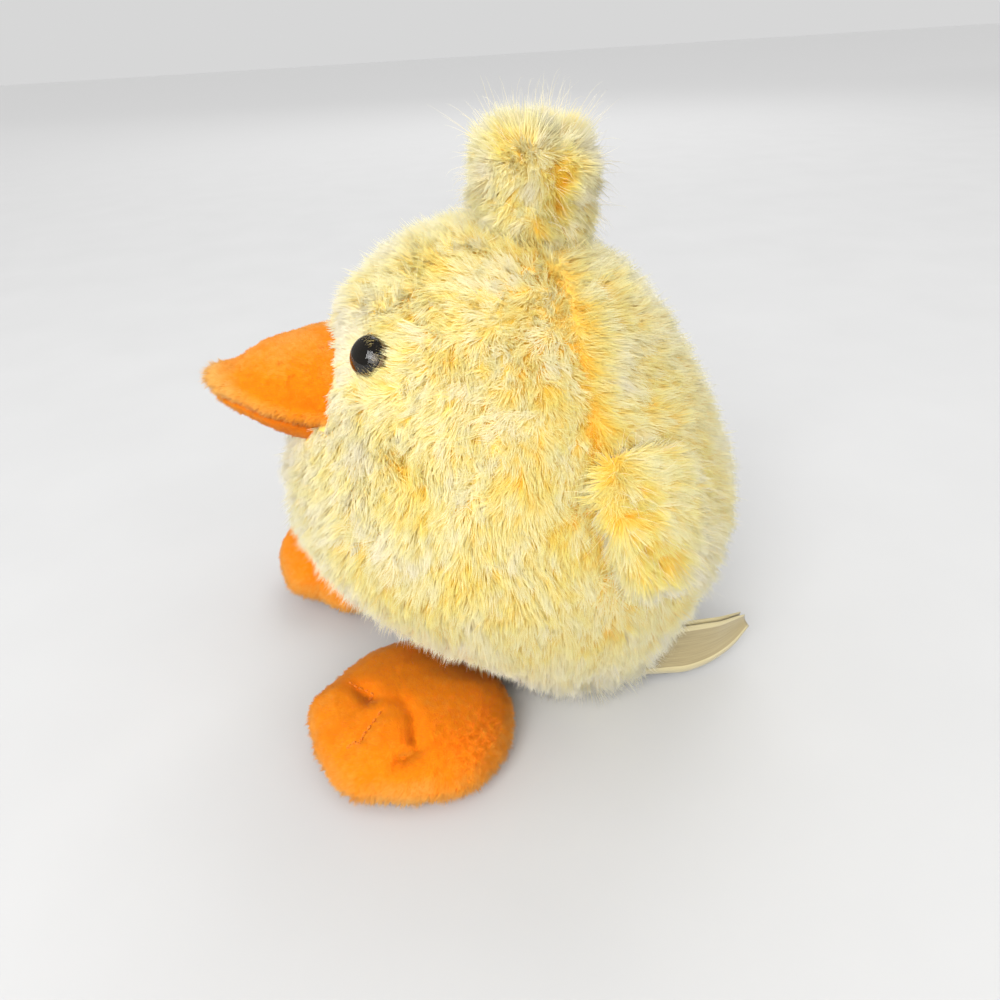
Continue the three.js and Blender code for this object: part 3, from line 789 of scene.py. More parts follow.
def upright_to(way):
    """The turn that brings a form's own upright to a way."""
    return Vector((0, 0, 1)).rotation_difference(way.normalized()).to_matrix().to_4x4()


def stitches(name, mesh, path, pitch, length, radius, lift):
    """A row of short stitches lying in the pile along a line on a form, raised by lift."""
    spots = line_on(mesh, path, 81) + np.array([0, 0, lift])
    way = np.linalg.norm(np.diff(spots, axis=0), axis=1)
    along = np.concatenate([[0], np.cumsum(way)])
    work = bmesh.new()
    for middle in np.arange(pitch / 2, along[-1], pitch):
        start, end = (
            Vector([np.interp(middle + step, along, spots[:, i]) for i in range(3)])
            for step in (-length / 2, length / 2)
        )
        turn = upright_to(end - start)
        size = Matrix.Diagonal((radius, radius, length / 2, 1))
        placed = Matrix.Translation((start + end) / 2) @ turn @ size
        bmesh.ops.create_uvsphere(work, u_segments=8, v_segments=6, radius=1, matrix=placed)
    made = bpy.data.meshes.new(name)
    work.to_mesh(made)
    work.free()
    made.shade_smooth()
    return link(name, made)


def press(mesh, path, width, depth, deepest=0.5, taper=1.0):
    """Presses a valley into a form along a line on its surface, deepest at a share of the line's length."""
    places = points_of(mesh)
    fall = np.zeros(len(places))
    line = line_on(mesh, path)
    for share, spot in zip(np.linspace(0, 1, len(line)), line):
        here = hill(share - deepest, taper)
        fall = np.maximum(fall, here * near(places, spot, width))
    move_points(mesh, places - normals_of(mesh) * (depth * fall)[:, None])


# Body

body_cushion = link("body_cushion", body_form())
places = points_of(body_cushion.data)
seam_gap = np.minimum.reduce(
    [np.abs(places[:, 1] - SIDE_SEAM_Y), np.abs(places[:, 0]), np.abs(places[:, 2] - BASE_SEAM_HEIGHT)]
)
at_foot = places[:, 2] < CLOTH_DEPTH + 1 * MM
held = np.where((seam_gap < 1 * MM) | at_foot, 1.0, 0.0)

topknot_cushion = even_form("topknot_cushion", topknot_form(), voxel=2 * MM, inset=0.5 * MM)
wing_cushions = {}
for side, sign in SIDES.items():
    name = f"{side}_wing_cushion"
    wing_cushions[side] = even_form(name, wing_form(name, sign), voxel=1.8 * MM, inset=0.4 * MM)
foot_cushions = {
    side: frame_form(
        f"{side}_foot_cushion",
        [f"{side}_foot_upper", f"{side}_foot_sole", f"{side}_foot_filling"],
        voxel=2.2 * MM,
        inset=1 * MM,
    )
    for side in SIDES
}
beak_cushion = even_form("beak_cushion", beak_form(), voxel=1.6 * MM, inset=0.5 * MM)

add_swelling(body_cushion, held)
padded = [body_cushion, topknot_cushion, *wing_cushions.values(), *foot_cushions.values(), beak_cushion]
for holder in padded[1:]:
    add_swelling(holder)
swell(padded, STUFFING_CAP)


def bulge(mesh):
    """Fills out the breast and the back over their frame."""
    places = points_of(mesh)
    high_up = smoothstep(places[:, 2], BULGE_FROM, BULGE_TO)
    behind = smoothstep(places[:, 1], -50 * MM, 40 * MM)
    places[:, 1] += high_up * (BACK_BULGE * behind - BREAST_BULGE * (1 - behind))
    move_points(mesh, places)


# Camera, light and floor

scene = bpy.context.scene
camera = bpy.data.objects.new("camera", bpy.data.cameras.new("camera"))
scene.collection.objects.link(camera)
scene.camera = camera
camera.data.sensor_width = 36
camera.data.lens = 26.64
camera.data.clip_start = 0.01
CAMERA_SPOT = Vector((0.2602, -0.0752, 0.232))
FORWARD = Vector((-0.8383, 0.1478, -0.5247))
LEVEL_RIGHT = Vector((0.1736, 0.9848, 0.0))
LEVEL_UP = Vector((-0.5167, 0.0911, 0.8513))
ROLL = math.radians(3.45)
right = math.cos(ROLL) * LEVEL_RIGHT - math.sin(ROLL) * LEVEL_UP
up = math.sin(ROLL) * LEVEL_RIGHT + math.cos(ROLL) * LEVEL_UP
turn = Matrix((right, up, -FORWARD)).transposed()
camera.matrix_world = Matrix.Translation(CAMERA_SPOT) @ turn.to_4x4()


def area_lamp(name, spot, aim, size, power):
    lamp = bpy.data.lights.new(name, "AREA")
    lamp.size = size
    lamp.energy = power
    holder = bpy.data.objects.new(name, lamp)
    holder.location = spot
    holder.rotation_euler = (Vector(aim) - Vector(spot)).to_track_quat("-Z", "Y").to_euler()
    scene.collection.objects.link(holder)


area_lamp("key", (1.5, -1.2, 1.7), aim=(0, -0.02, 0.1), size=1.3, power=32)
area_lamp("front", (1.4, -0.6, 0.7), aim=(0, -0.02, 0.08), size=1.0, power=10)
area_lamp("fill", (2.1, 1.7, 1.5), aim=(0, -0.02, 0.1), size=1.8, power=11)
area_lamp("back", (-1.9, 0.7, 2.2), aim=(0, -0.02, 0.1), size=1.8, power=24)

world = bpy.data.worlds.new("studio")
world.use_nodes = True
scene.world = world
air = Recipe(world.node_tree)
background = world.node_tree.nodes["Background"]
background.inputs["Strength"].default_value = 1.0
ray = air.node("ShaderNodeLightPath", output="Is Camera Ray")
glossy, passing = ray.out("Is Glossy Ray"), ray.out("Is Transmission Ray")
mirrored = air.node("ShaderNodeMath", {"operation": "MAXIMUM"}, {0: glossy, 1: passing})
lit = air.mix(mirrored, grey(0.92), grey(0.3))
air.feed(background.inputs["Color"], air.mix(ray, lit, grey(0.68)))
scene.view_settings.view_transform = "Standard"

floor_mesh = bpy.data.meshes.new("floor")
FLOOR_HALF = 20.0
corners = [(x * FLOOR_HALF, y * FLOOR_HALF, 0) for x, y in ((-1, -1), (1, -1), (1, 1), (-1, 1))]
floor_mesh.from_pydata(corners, [], [(0, 1, 2, 3)])
floor = link("floor", floor_mesh)
floor_finish, recipe, shader = finish("pale_floor", 0.8)
place = object_place(recipe)
grain = noise(recipe, place, 12)
# Darker under the lamps and paler away from them, so that it looks more even
toward_lamps = recipe.node("ShaderNodeSeparateXYZ", None, {"Vector": place})
floor_tone = recipe.mix(grain, grey(0.53), grey(0.57))
floor_tone = recipe.mix(recipe.ease(toward_lamps, 0.3, 1.6), floor_tone, grey(0.36))
floor_tone = recipe.mix(recipe.ease(toward_lamps * -1.0, 0.5, 4.0), floor_tone, grey(0.72))
recipe.feed(shader.inputs["Base Color"], floor_tone)
floor_mesh.materials.append(floor_finish)

# Pile


def spike_tree():
    """Grows a pile over a cloth: each fibre is a narrow spike that leans the way the cloth is combed
    and draws together with its neighbours into a tuft."""
    tree = bpy.data.node_groups.new("pile_growth", "GeometryNodeTree")
    interface = tree.interface
    interface.new_socket("Cloth", in_out="INPUT", socket_type="NodeSocketGeometry")
    for name in (
        "Fibres per area",
        "Length",
        "Width",
        "Tuft spacing",
        "Tuft pull",
        "Lift",
        "Waviness",
        "Wave size",
        "Dye spread",
        "Patch size",
        "Patch depth",
    ):
        interface.new_socket(name, in_out="INPUT", socket_type="NodeSocketFloat")
    for name in ("Joints", "Seed"):
        interface.new_socket(name, in_out="INPUT", socket_type="NodeSocketInt")
    interface.new_socket("Finish", in_out="INPUT", socket_type="NodeSocketMaterial")
    interface.new_socket("Pile", in_out="OUTPUT", socket_type="NodeSocketGeometry")
    recipe = Recipe(tree)
    given = recipe.node("NodeGroupInput")

    def attribute(name, kind="FLOAT"):
        return recipe.node("GeometryNodeInputNamedAttribute", {"data_type": kind}, {"Name": name})

    def store(geometry, name, value, kind="FLOAT", domain="POINT"):
        return recipe.node(
            "GeometryNodeStoreNamedAttribute",
            {"data_type": kind, "domain": domain},
            {"Geometry": geometry, "Name": name, "Value": value},
        )

    def chance(seed, low, high, by=None, kind="FLOAT"):
        inputs = {"Min": low, "Max": high, "Seed": given.out("Seed") + seed}
        if by is not None:
            inputs["ID"] = by
        return recipe.node("FunctionNodeRandomValue", {"data_type": kind}, inputs)

    def any_way(seed, by=None):
        return chance(seed, (-1, -1, -1), (1, 1, 1), by, "FLOAT_VECTOR")

    def limit(value):
        return recipe.node("ShaderNodeClamp", None, {"Value": value})

    cloth = given.out("Cloth")
    spread = recipe.node(
        "GeometryNodeDistributePointsOnFaces",
        {"distribute_method": "RANDOM"},
        {
            "Mesh": cloth,
            "Density": given.out("Fibres per area") * attribute("cover"),
            "Seed": given.out("Seed"),
        },
    )
    normal = spread.out("Normal")
    tufts = recipe.node(
        "GeometryNodeDistributePointsOnFaces",
        {"distribute_method": "RANDOM"},
        {
            "Mesh": cloth,
            "Density": given.out("Tuft spacing") ** -2.0,
            "Seed": given.out("Seed") + 101,
        },
    )
    place = recipe.node("GeometryNodeInputPosition")
    tuft = recipe.node(
        "GeometryNodeSampleNearest", {"domain": "POINT"}, {"Geometry": tufts, "Sample Position": place}
    )
    tuft_spot = recipe.node(
        "GeometryNodeSampleIndex",
        {"data_type": "FLOAT_VECTOR", "domain": "POINT"},
        {"Geometry": tufts, "Value": place, "Index": tuft},
    )
    wave = noise(recipe, place, given.out("Wave size") ** -1.0, detail=2.0).out("Color")
    wave = recipe.arrows("SUBTRACT", wave, (0.5, 0.5, 0.5))
    lay = attribute("comb", "FLOAT_VECTOR") + wave * (given.out("Waviness") * 4.0)
    lay = lay + any_way(11, tuft) * (given.out("Waviness") * 0.55)
    lay = lay + any_way(12) * (given.out("Waviness") * 0.22)
    flat = lay - normal * recipe.arrows("DOT_PRODUCT", lay, normal, output="Value")
    along = recipe.arrows("NORMALIZE", flat)
    across = recipe.arrows("CROSS_PRODUCT", normal, along)
    roll = chance(13, -math.pi, math.pi)
    cosine, sine = recipe.number("COSINE", roll), recipe.number("SINE", roll)
    length = given.out("Length") * attribute("reach") * chance(14, 0.7, 1.15) * chance(15, 0.8, 1.2, tuft)
    lift = given.out("Lift") * attribute("lift")
    lift = limit(lift + chance(16, -0.16, 0.16) + chance(17, -0.14, 0.2, tuft))
    pull = (tuft_spot - place) * (given.out("Tuft pull") * chance(18, 0.5, 1.0))
    patch = noise(recipe, place, given.out("Patch size") ** -1.0, detail=2.0)
    dye = attribute("dye") + given.out("Dye spread") * (chance(19, -0.6, 0.6, tuft) + chance(20, -0.4, 0.4))
    dye = dye + (patch - 0.5) * given.out("Patch depth")
    slant = normal - along * lift
    points = spread
    for name, value in (
        ("root", place),
        ("up", normal),
        ("along", along),
        ("across", across * cosine + slant * sine),
        ("upright", slant * cosine - across * sine),
        ("pull", pull),
        ("curl", any_way(21, tuft) * 0.5 + any_way(22) * 0.3),
    ):
        points = store(points, name, value, "FLOAT_VECTOR")
    for name, value in (("long", length), ("rise", lift), ("dyed", limit(dye))):
        points = store(points, name, value)

    spike = recipe.node(
        "GeometryNodeMeshCone",
        {"fill_type": "NONE"},
        {
            "Vertices": 3,
            "Side Segments": given.out("Joints"),
            "Radius Top": 0.0,
            "Radius Bottom": 0.5,
            "Depth": 1.0,
        },
    )
    parts = recipe.node("ShaderNodeSeparateXYZ", None, {"Vector": place})
    spike = store(spike, "side", parts)
    spike = store(spike, "thick", parts.out("Y"))
    spike = store(spike, "way", parts.out("Z"))

    grown = recipe.node("GeometryNodeInstanceOnPoints", None, {"Points": points, "Instance": spike})
    grown = recipe.node("GeometryNodeRealizeInstances", None, {"Geometry": grown})
    way, side, long, rise = attribute("way"), attribute("side"), attribute("long"), attribute("rise")
    left = 1.0 - way
    height = long * rise * (1.0 - left * left)
    forward = long * (1.0 - rise * rise * 0.8) * way**1.2
    spot = attribute("root", "FLOAT_VECTOR")
    spot = spot + attribute("along", "FLOAT_VECTOR") * forward
    spot = spot + attribute("up", "FLOAT_VECTOR") * height
    spot = spot + attribute("pull", "FLOAT_VECTOR") * way**1.3
    spot = spot + attribute("curl", "FLOAT_VECTOR") * (long * way**2.5 * 0.35)
    spot = spot + attribute("across", "FLOAT_VECTOR") * (side * given.out("Width"))
    spot = spot + attribute("upright", "FLOAT_VECTOR") * (attribute("thick") * given.out("Width"))
    spot = recipe.arrows("MAXIMUM", spot, (-10.0, -10.0, 0.3 * MM))
    grown = recipe.node("GeometryNodeSetPosition", None, {"Geometry": grown, "Position": spot})
    palette = recipe.node(
        "ShaderNodeCombineXYZ", None, {"X": attribute("dyed") * 0.96 + 0.02 + side * 0.02, "Y": way}
    )
    grown = store(grown, "OFBake", palette, "FLOAT2", "CORNER")
    grown = recipe.node("GeometryNodeSetShadeSmooth", None, {"Geometry": grown, "Shade Smooth": True})
    grown = recipe.node("GeometryNodeSetMaterial", None, {"Geometry": grown, "Material": given.out("Finish")})
    end = tree.nodes.new("NodeGroupOutput")
    tree.links.new(grown.socket, end.inputs["Pile"])
    return tree


pile_growth = spike_tree()

# How much of a fibre's own slant its shading keeps, as light passes through fibres into their neighbours
FIBRE_SHADE = 0.18


def set_field(mesh, name, values, kind="FLOAT"):
    layer = mesh.attributes.get(name) or mesh.attributes.new(name, kind, "POINT")
    kept_as = "vector" if kind == "FLOAT_VECTOR" else "value"
    layer.data.foreach_set(kept_as, np.asarray(values, np.float32).ravel())


def grow(name, mesh, sizes):
    """Grows a pile over a mesh that carries what set_fields keeps, and returns it as a plain mesh."""
    holder = link(name, mesh)
    growth = holder.modifiers.new("growth", "NODES")
    growth.node_group = pile_growth
    for item in pile_growth.interface.items_tree:
        if item.in_out == "INPUT" and item.name in sizes:
            growth[item.identifier] = sizes[item.name]
    result = evaluated_mesh(holder, True)
    bpy.data.objects.remove(holder)
    outward = np.empty(len(result.vertices) * 3, np.float32)
    result.attributes["up"].data.foreach_get("vector", outward)
    soft = outward.reshape(-1, 3) + normals_of(result) * FIBRE_SHADE
    for layer in list(result.attributes):
        if layer.domain == "POINT" and not layer.is_required and not layer.name.startswith("."):
            result.attributes.remove(layer)
    result.normals_split_custom_set_from_vertices(soft / np.linalg.norm(soft, axis=1)[:, None])
    return link(name, result)


def set_comb(mesh, comb):
    """Keeps the way the pile is combed, laid flat on the cloth."""
    arrows = normals_of(mesh)
    flat = comb - arrows * (comb * arrows).sum(1)[:, None]
    flat /= np.maximum(np.linalg.norm(flat, axis=1), 1e-6)[:, None]
    set_field(mesh, "comb", flat, "FLOAT_VECTOR")


def set_fields(mesh, comb, dye, cover, reach, lift):
    """Keeps all that grow reads: the comb, and the shares of dye with painted shade and highlight, of fibres,
    of length and of lift.
    """
    set_comb(mesh, comb)
    for name, values in (("dye", dye), ("cover", cover), ("reach", reach), ("lift", lift)):
        set_field(mesh, name, values)


def part_of(mesh, name, chosen):
    """A copy of a mesh with only the faces whose middle is chosen."""
    copy = mesh.copy()
    copy.name = name
    work = bmesh.new()
    work.from_mesh(copy)
    middles = np.array([f.calc_center_median() for f in work.faces])
    keep = chosen(middles)
    bmesh.ops.delete(work, geom=[f for f, kept in zip(work.faces, keep) if not kept], context="FACES")
    work.to_mesh(copy)
    work.free()
    return copy


LUMP_WAVES = 14


def lumps(places, size, seed):
    """Smooth lumps of value from about -1 to 1 over space, from a few fixed waves."""
    dice = np.random.default_rng(seed)
    total = np.zeros(len(places))
    for _ in range(LUMP_WAVES):
        way = dice.normal(size=3)
        way /= np.linalg.norm(way)
        pace = 2 * math.pi / size
        total += np.sin(places @ way * pace * dice.uniform(0.6, 1.5) + dice.uniform(0, 2 * math.pi))
    return total / math.sqrt(LUMP_WAVES)


def inside(holder, places):
    """Which places lie within a closed form."""
    tree = tree_of(holder.data)
    upward = Vector((0.1, 0.2, 1)).normalized()
    found = []
    for place in places:
        spot, normal, _, _ = tree.ray_cast(Vector(place), upward)
        found.append(spot is not None and normal.dot(upward) > 0)
    return np.array(found)


eye_spots = [on_body(heading(np.array([sign * EYE_BEARING]), EYE_POLAR), 0)[0] for sign in SIDES.values()]

mesh = body_cushion.data
places, arrows = points_of(mesh), normals_of(mesh)
x, y, z = places.T
front = np.where(y < SIDE_SEAM_Y, 1.0, -1.0)
face = near(places, BEAK_MIDDLE, 62 * MM)
from_beak = places - BEAK_MIDDLE
from_beak /= np.linalg.norm(from_beak, axis=1)[:, None]
comb = np.stack([0 * y, -front * np.clip(arrows[:, 2], 0, 1) * 1.2, 0 * y - 1], -1)
comb = comb + from_beak * (1.6 * face)[:, None]
seam = hill(y - SIDE_SEAM_Y, 2.2 * MM) * (z > 15 * MM)
seam_side = np.sign(y - SIDE_SEAM_Y)[:, None] * np.array([0, 1.0, 0])
comb = comb + seam_side * (0.7 * hill(y - SIDE_SEAM_Y, 9 * MM))[:, None]
low = np.clip((55 * MM - z) / (40 * MM), 0, 1)
dye = 0.37 + 0.12 * lumps(places, 26 * MM, 3) + 0.09 * lumps(places, 10 * MM, 4) - 0.22 * low
dye = dye + seam * (0.14 + 0.6 * hill(z - 118 * MM, 26 * MM))
# Painted shade: the pile takes a deeper colour round the wing, which shades the body there.
wing_spots = [spot for wing in wing_cushions.values() for spot in points_of(wing.data)[::7]]
at_wing = hill(gap_to(places, wing_spots), 7 * MM)
dye = dye + 0.2 * at_wing
from_lips = gap_to(places, points_of(beak_cushion.data)[::4])
by_lips = hill(from_lips, 8 * MM)
dye = dye - 0.15 * face - 0.2 * by_lips
cover = np.ones(len(places))
for spot in eye_spots:
    cover = np.where(np.linalg.norm(places - spot, axis=1) < EYE_CLEARING, 0.0, cover)
cover = np.where(inside(beak_cushion, places) | (from_lips < BEAK_CLEARING), 0.0, cover)
cover = np.where(z < CLOTH_DEPTH + 0.5 * MM, 0.1, cover)
cover = cover * (1 - 0.5 * seam) * (1 + 1.2 * by_lips)
reach = (1 - 0.4 * seam) * (0.45 + 0.55 * smoothstep(from_lips, 2 * MM, 12 * MM)) * (1 - 0.45 * at_wing)
lift = 1 - 0.15 * face
# The pile is short under the breast, and splays out on the floor at the sides
under_breast = smoothstep(-y, 15 * MM, 50 * MM) * smoothstep(-z, -55 * MM, -15 * MM)
on_floor = smoothstep(-z, -22 * MM, -8 * MM) * (1 - smoothstep(-y, 15 * MM, 40 * MM))
reach = reach * (1 - 0.45 * under_breast) * (1 + 0.35 * on_floor)
comb = comb + arrows * np.array([1, 1, 0]) * (2.5 * on_floor)[:, None]
comb = comb + np.array([0, 0, 1]) * on_floor[:, None]
for spot in eye_spots:
    from_eye = places - spot
    by_eye = near(places, spot, 12 * MM)
    behind = smoothstep(from_eye @ np.array([0, 0.85, -0.5]), -1 * MM, 4 * MM)
    way = from_eye / np.maximum(np.linalg.norm(from_eye, axis=1), 1 * MM)[:, None]
    comb = comb + way * (by_eye * (3 - 7 * behind))[:, None]
    lift = lift + by_eye * (0.8 * behind - 0.2 * (1 - behind))
    reach = reach * (1 - by_eye * (0.6 - 0.1 * behind))
# It lies away from the foot of the topknot
from_knot = places - KNOT_FOOT
knot_gap = np.linalg.norm(from_knot, axis=1)
comb = comb + from_knot / knot_gap[:, None] * (2 * hill(knot_gap, 26 * MM))[:, None]
set_fields(mesh, comb, dye, cover, reach, lift)
bulge(mesh)

BODY_PILE = {
    "Fibres per area": 4.05e6,
    "Length": 7.5 * MM,
    "Width": 0.34 * MM,
    "Tuft spacing": 2.6 * MM,
    "Tuft pull": 0.36,
    "Lift": 0.66,
    "Waviness": 1.0,
    "Wave size": 17 * MM,
    "Dye spread": 0.15,
    "Patch size": 6 * MM,
    "Patch depth": 0.9,
    "Joints": 1,
    "Finish": pile_fibre,
}
BACK_THINNING = 0.93
CHEST_HEIGHT = 88 * MM


def in_panel(middles, panel, sign):
    """Which faces lie in the breast, the head or the back on one side of the body."""
    x, y, z = middles.T
    ahead = y < SIDE_SEAM_Y
    chosen = {
        "breast": ahead & (z < CHEST_HEIGHT),
        "head": ahead & (z >= CHEST_HEIGHT),
        "back": ~ahead,
    }
    return chosen[panel] & ((x > 0) == (sign > 0))


panels = [(panel, side) for group in (("breast", "head"), ("back",)) for side in SIDES for panel in group]
for seed, (panel, side) in enumerate(panels):
    density = BODY_PILE["Fibres per area"] * (BACK_THINNING if panel == "back" else 1)
    part = part_of(mesh, f"{panel}_{side}", lambda middles: in_panel(middles, panel, SIDES[side]))
    sizes = {**BODY_PILE, "Fibres per area": density, "Seed": seed}
    pile = grow(f"pile_{panel}_{side}", part, sizes)
    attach(pile, "body")

# The stitches that close the back lie under the pile
back_line = [(0, 0.5 * BODY_HEIGHT, height) for height in np.linspace(CLOSING_LOW, CLOSING_HIGH, 5)]
closing = stitches("closing_stitches", mesh, back_line, *CLOSING_STITCH, 0)
closing.data.materials.append(yellow_thread)
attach(closing, "body")
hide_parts("closing_seam_thread")

mesh.materials.append(pile_ground)
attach(body_cushion, "body")
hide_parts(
    "front_panel_left",
    "front_panel_right",
    "back_panel_left",
    "back_panel_right",
    "base_panel",
    "body_filling",
)

# Topknot

mesh = topknot_cushion.data
places, arrows = points_of(mesh), normals_of(mesh)
crown_low = places[:, 2].min()
knot_seam = hill(places[:, 1] - KNOT_SEAM_Y, 3 * MM)
knot_lumps = KNOT_LUMPS * lumps(places, 17 * MM, 12)
move_points(mesh, places + arrows * (knot_lumps - 2 * MM * knot_seam)[:, None])
places = points_of(mesh)
z = places[:, 2]
out = places - KNOT_MIDDLE
low_down = 1 - smoothstep(z, crown_low + 2 * MM, crown_low + 16 * MM)
fall = np.stack([0 * z, 0 * z, 0.4 + 1.2 * low_down], -1)
high_up = smoothstep(arrows[:, 2], 0.3, 0.9)
set_fields(
    mesh,
    comb=out / np.linalg.norm(out, axis=1)[:, None] - fall,
    dye=0.37 + 0.2 * lumps(places, 18 * MM, 6) + 0.3 * knot_seam,
    cover=np.where(z < crown_low + 2 * MM, 0.2, 1.0),
    reach=0.9 + 0.15 * low_down + 0.35 * high_up,
    lift=1 - 0.1 * low_down + 0.25 * high_up,
)
KNOT_PILE = {
    **BODY_PILE,
    "Fibres per area": 9e6,
    "Length": 6.5 * MM,
    "Lift": 0.7,
    "Wave size": 12 * MM,
    "Seed": 11,
}
pile = grow("pile_topknot", mesh.copy(), KNOT_PILE)
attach(pile, "topknot")
mesh.materials.append(pile_ground)
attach(topknot_cushion, "topknot")
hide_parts("topknot_front_panel", "topknot_back_panel", "topknot_filling")

# Wings

for side, sign in SIDES.items():
    mesh = wing_cushions[side].data
    creases = [[(sign * cx * MM, cy * MM, cz * MM) for cx, cy, cz in line] for line in WING_CREASES]
    for line in creases:
        press(mesh, line, width=2.6 * MM, depth=2.4 * MM)
    places, arrows = points_of(mesh), normals_of(mesh)
    outward = smoothstep(arrows[:, 0] * sign, -0.3, 0.3)
    # Painted shade: the pile takes a deeper colour in the creases.
    in_crease = hill(gap_to(places, np.vstack([line_on(mesh, line) for line in creases])), 3.5 * MM)
    in_patch = near(places, np.array(WING_PATCH) * MM * (sign, 1, 1), 8 * MM)
    forward_edge = smoothstep(-places[:, 1], 0, 10 * MM)
    low_end = smoothstep(-places[:, 2], -95 * MM, -72 * MM)
    dye = 0.38 + 0.1 * lumps(places, 20 * MM, 7)
    set_fields(
        mesh,
        comb=np.array([0.0, 0.5, -1.0]) - np.array([0, 1.2, 0]) * forward_edge[:, None],
        dye=dye + 0.25 * in_crease + 0.45 * in_patch - 0.3 * low_end,
        cover=0.4 + 0.6 * outward,
        reach=(0.5 + 0.5 * outward) * (1 - 0.4 * in_crease),
        lift=np.ones(len(places)),
    )
    sizes = {**BODY_PILE, "Fibres per area": 9e6, "Length": 8 * MM, "Lift": 0.6, "Seed": 20 + sign}
    pile = grow(f"pile_{side}_wing", mesh.copy(), sizes)
    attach(pile, f"{side}_wing")
    mesh.materials.append(pile_ground)
    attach(wing_cushions[side], f"{side}_wing")
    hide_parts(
        f"{side}_wing_outer_panel", f"{side}_wing_inner_panel", f"{side}_wing_filling"
    )

# Loose long fibres that the pile sheds to its outside

WISPS = {
    **BODY_PILE,
    "Fibres per area": 0.16e6,
    "Length": 13 * MM,
    "Width": 0.16 * MM,
    "Tuft pull": 0.3,
    "Lift": 0.75,
    "Joints": 5,
}
for body_name, cushion, seed in (
    ("topknot", topknot_cushion, 51),
    ("left_wing", wing_cushions["left"], 52),
    ("right_wing", wing_cushions["right"], 53),
):
    mesh = cushion.data.copy()
    set_field(mesh, "dye", np.zeros(len(mesh.vertices)))
    wisps = grow(f"wisps_{body_name}", mesh, {**WISPS, "Seed": seed})
    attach(wisps, body_name)

# Feet

VELOUR = {
    "Fibres per area": 8e6,
    "Length": 1.5 * MM,
    "Width": 0.3 * MM,
    "Tuft spacing": 1.6 * MM,
    "Tuft pull": 0.25,
    "Lift": 0.8,
    "Waviness": 0.4,
    "Wave size": 12 * MM,
    "Dye spread": 0.12,
    "Patch size": 8 * MM,
    "Patch depth": 0.25,
    "Joints": 1,
    "Finish": velour_fibre,
}


def foot_place(side):
    """Where a foot's own middle and axis lie in the frame."""
    sign = SIDES[side]
    inner = Vector((-sign * FOOT_INNER_HALF, 0, 0))
    middle = Vector(
        (
            sign * (FOOT_HINGE_X + FOOT_OUT[side] * math.sin(FOOT_BEARING)),
            FOOT_HINGE_Y - FOOT_OUT[side] * math.cos(FOOT_BEARING),
            -FOOT_SINK[side],
        )
    )
    return (
        Matrix.Translation(middle)
        @ Matrix.Rotation(-sign * FOOT_TURN[side], 4, "Z")
        @ Matrix.Translation(inner)
        @ Matrix.Rotation(-sign * FOOT_TILT[side], 4, "Y")
        @ Matrix.Translation(-inner)
    )


for side, sign in SIDES.items():
    cushion = foot_cushions[side]
    mesh = cushion.data
    placed = foot_place(side)

    if side == "right":
        inner_edge = placed @ Vector((FOOT_INNER_HALF, 0, 0))
        ahead = placed.to_3x3() @ Vector((0, 1, 0))
        kick = (
            Matrix.Translation(FAR_FOOT_KICK + inner_edge)
            @ Matrix.Rotation(FAR_FOOT_TOE_IN, 4, "Z")
            @ Matrix.Rotation(FAR_FOOT_ROLL, 4, ahead)
            @ Matrix.Translation(-inner_edge)
        )
        placed = kick @ placed
        mesh.transform(kick)

    places = points_of(mesh)
    back = placed.inverted()
    own = np.array([(back @ Vector(spot))[:] for spot in places])
    bearing = np.degrees(np.arctan2(own[:, 0] * sign, -own[:, 1]))
    bearings, shares = zip(*FOOT_SWELL[side])
    own[:, :2] *= np.interp(bearing, bearings, shares, period=360)[:, None]
    move_points(mesh, np.array([(placed @ Vector(spot))[:] for spot in own]))

    def laid(path):
        return [(placed @ Vector((sign * px * MM, py * MM, FOOT_TOP)))[:] for px, py in path]

    press(mesh, laid(INNER_TOE_LINE), width=3 * MM, depth=4.2 * MM, deepest=0.9, taper=0.55)
    press(mesh, laid(OUTER_TOE_LINE), width=2.2 * MM, depth=1.6 * MM)
    press(mesh, laid(CROSS_FOLD), width=2.6 * MM, depth=4.4 * MM, deepest=0.72, taper=0.5)
    mesh = subdivide(cushion)
    places, arrows = points_of(mesh), normals_of(mesh)
    # Painted light on the foot: a paler colour where the surface faces sideways or down is painted sheen of
    # the fuzz at its rim; a deeper colour along the folds is painted shade.
    at_side = np.clip(0.7 - arrows[:, 2], 0, 1)
    folds = np.vstack([line_on(mesh, laid(line)) for line in (INNER_TOE_LINE, CROSS_FOLD)])
    fold_shade = hill(gap_to(places, folds), 5 * MM)
    by_stitches = gap_to(places, line_on(mesh, laid(OUTER_TOE_LINE))) < 0.9 * MM
    set_fields(
        mesh,
        comb=np.tile([0.2 * sign, -1.0, -0.4], (len(places), 1)),
        dye=0.5 + 0.07 * lumps(places, 26 * MM, 8) - 0.35 * at_side + 0.2 * fold_shade,
        cover=np.where(by_stitches, 0.55, np.where(arrows[:, 2] < -0.6, 0.25, 1.0)),
        reach=1 + 0.9 * at_side,
        lift=1 + 0.2 * at_side,
    )
    for which, line in (("inner", INNER_TOE_LINE), ("outer", OUTER_TOE_LINE)):
        name = f"{side}_foot_{which}_stitches"
        thread = stitches(name, mesh, laid(line), *TOE_STITCH, TOE_STITCH_LIFT)
        thread.data.materials.append(orange_thread)
        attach(thread, f"{side}_foot")
        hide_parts(f"{side}_foot_{which}_toe_thread")
    pile = grow(f"velour_{side}_foot", mesh.copy(), {**VELOUR, "Seed": 30 + sign})
    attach(pile, f"{side}_foot")
    mesh.materials.append(velour_ground)
    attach(cushion, f"{side}_foot")
    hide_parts(f"{side}_foot_upper", f"{side}_foot_sole", f"{side}_foot_filling")

# Beak

stations = np.array(BEAK_STATIONS) * MM


def over_mouth(places):
    """Height of places over the mouth line."""
    return places[:, 2] - np.interp(-places[:, 1], -stations[:, 0], stations[:, 2])


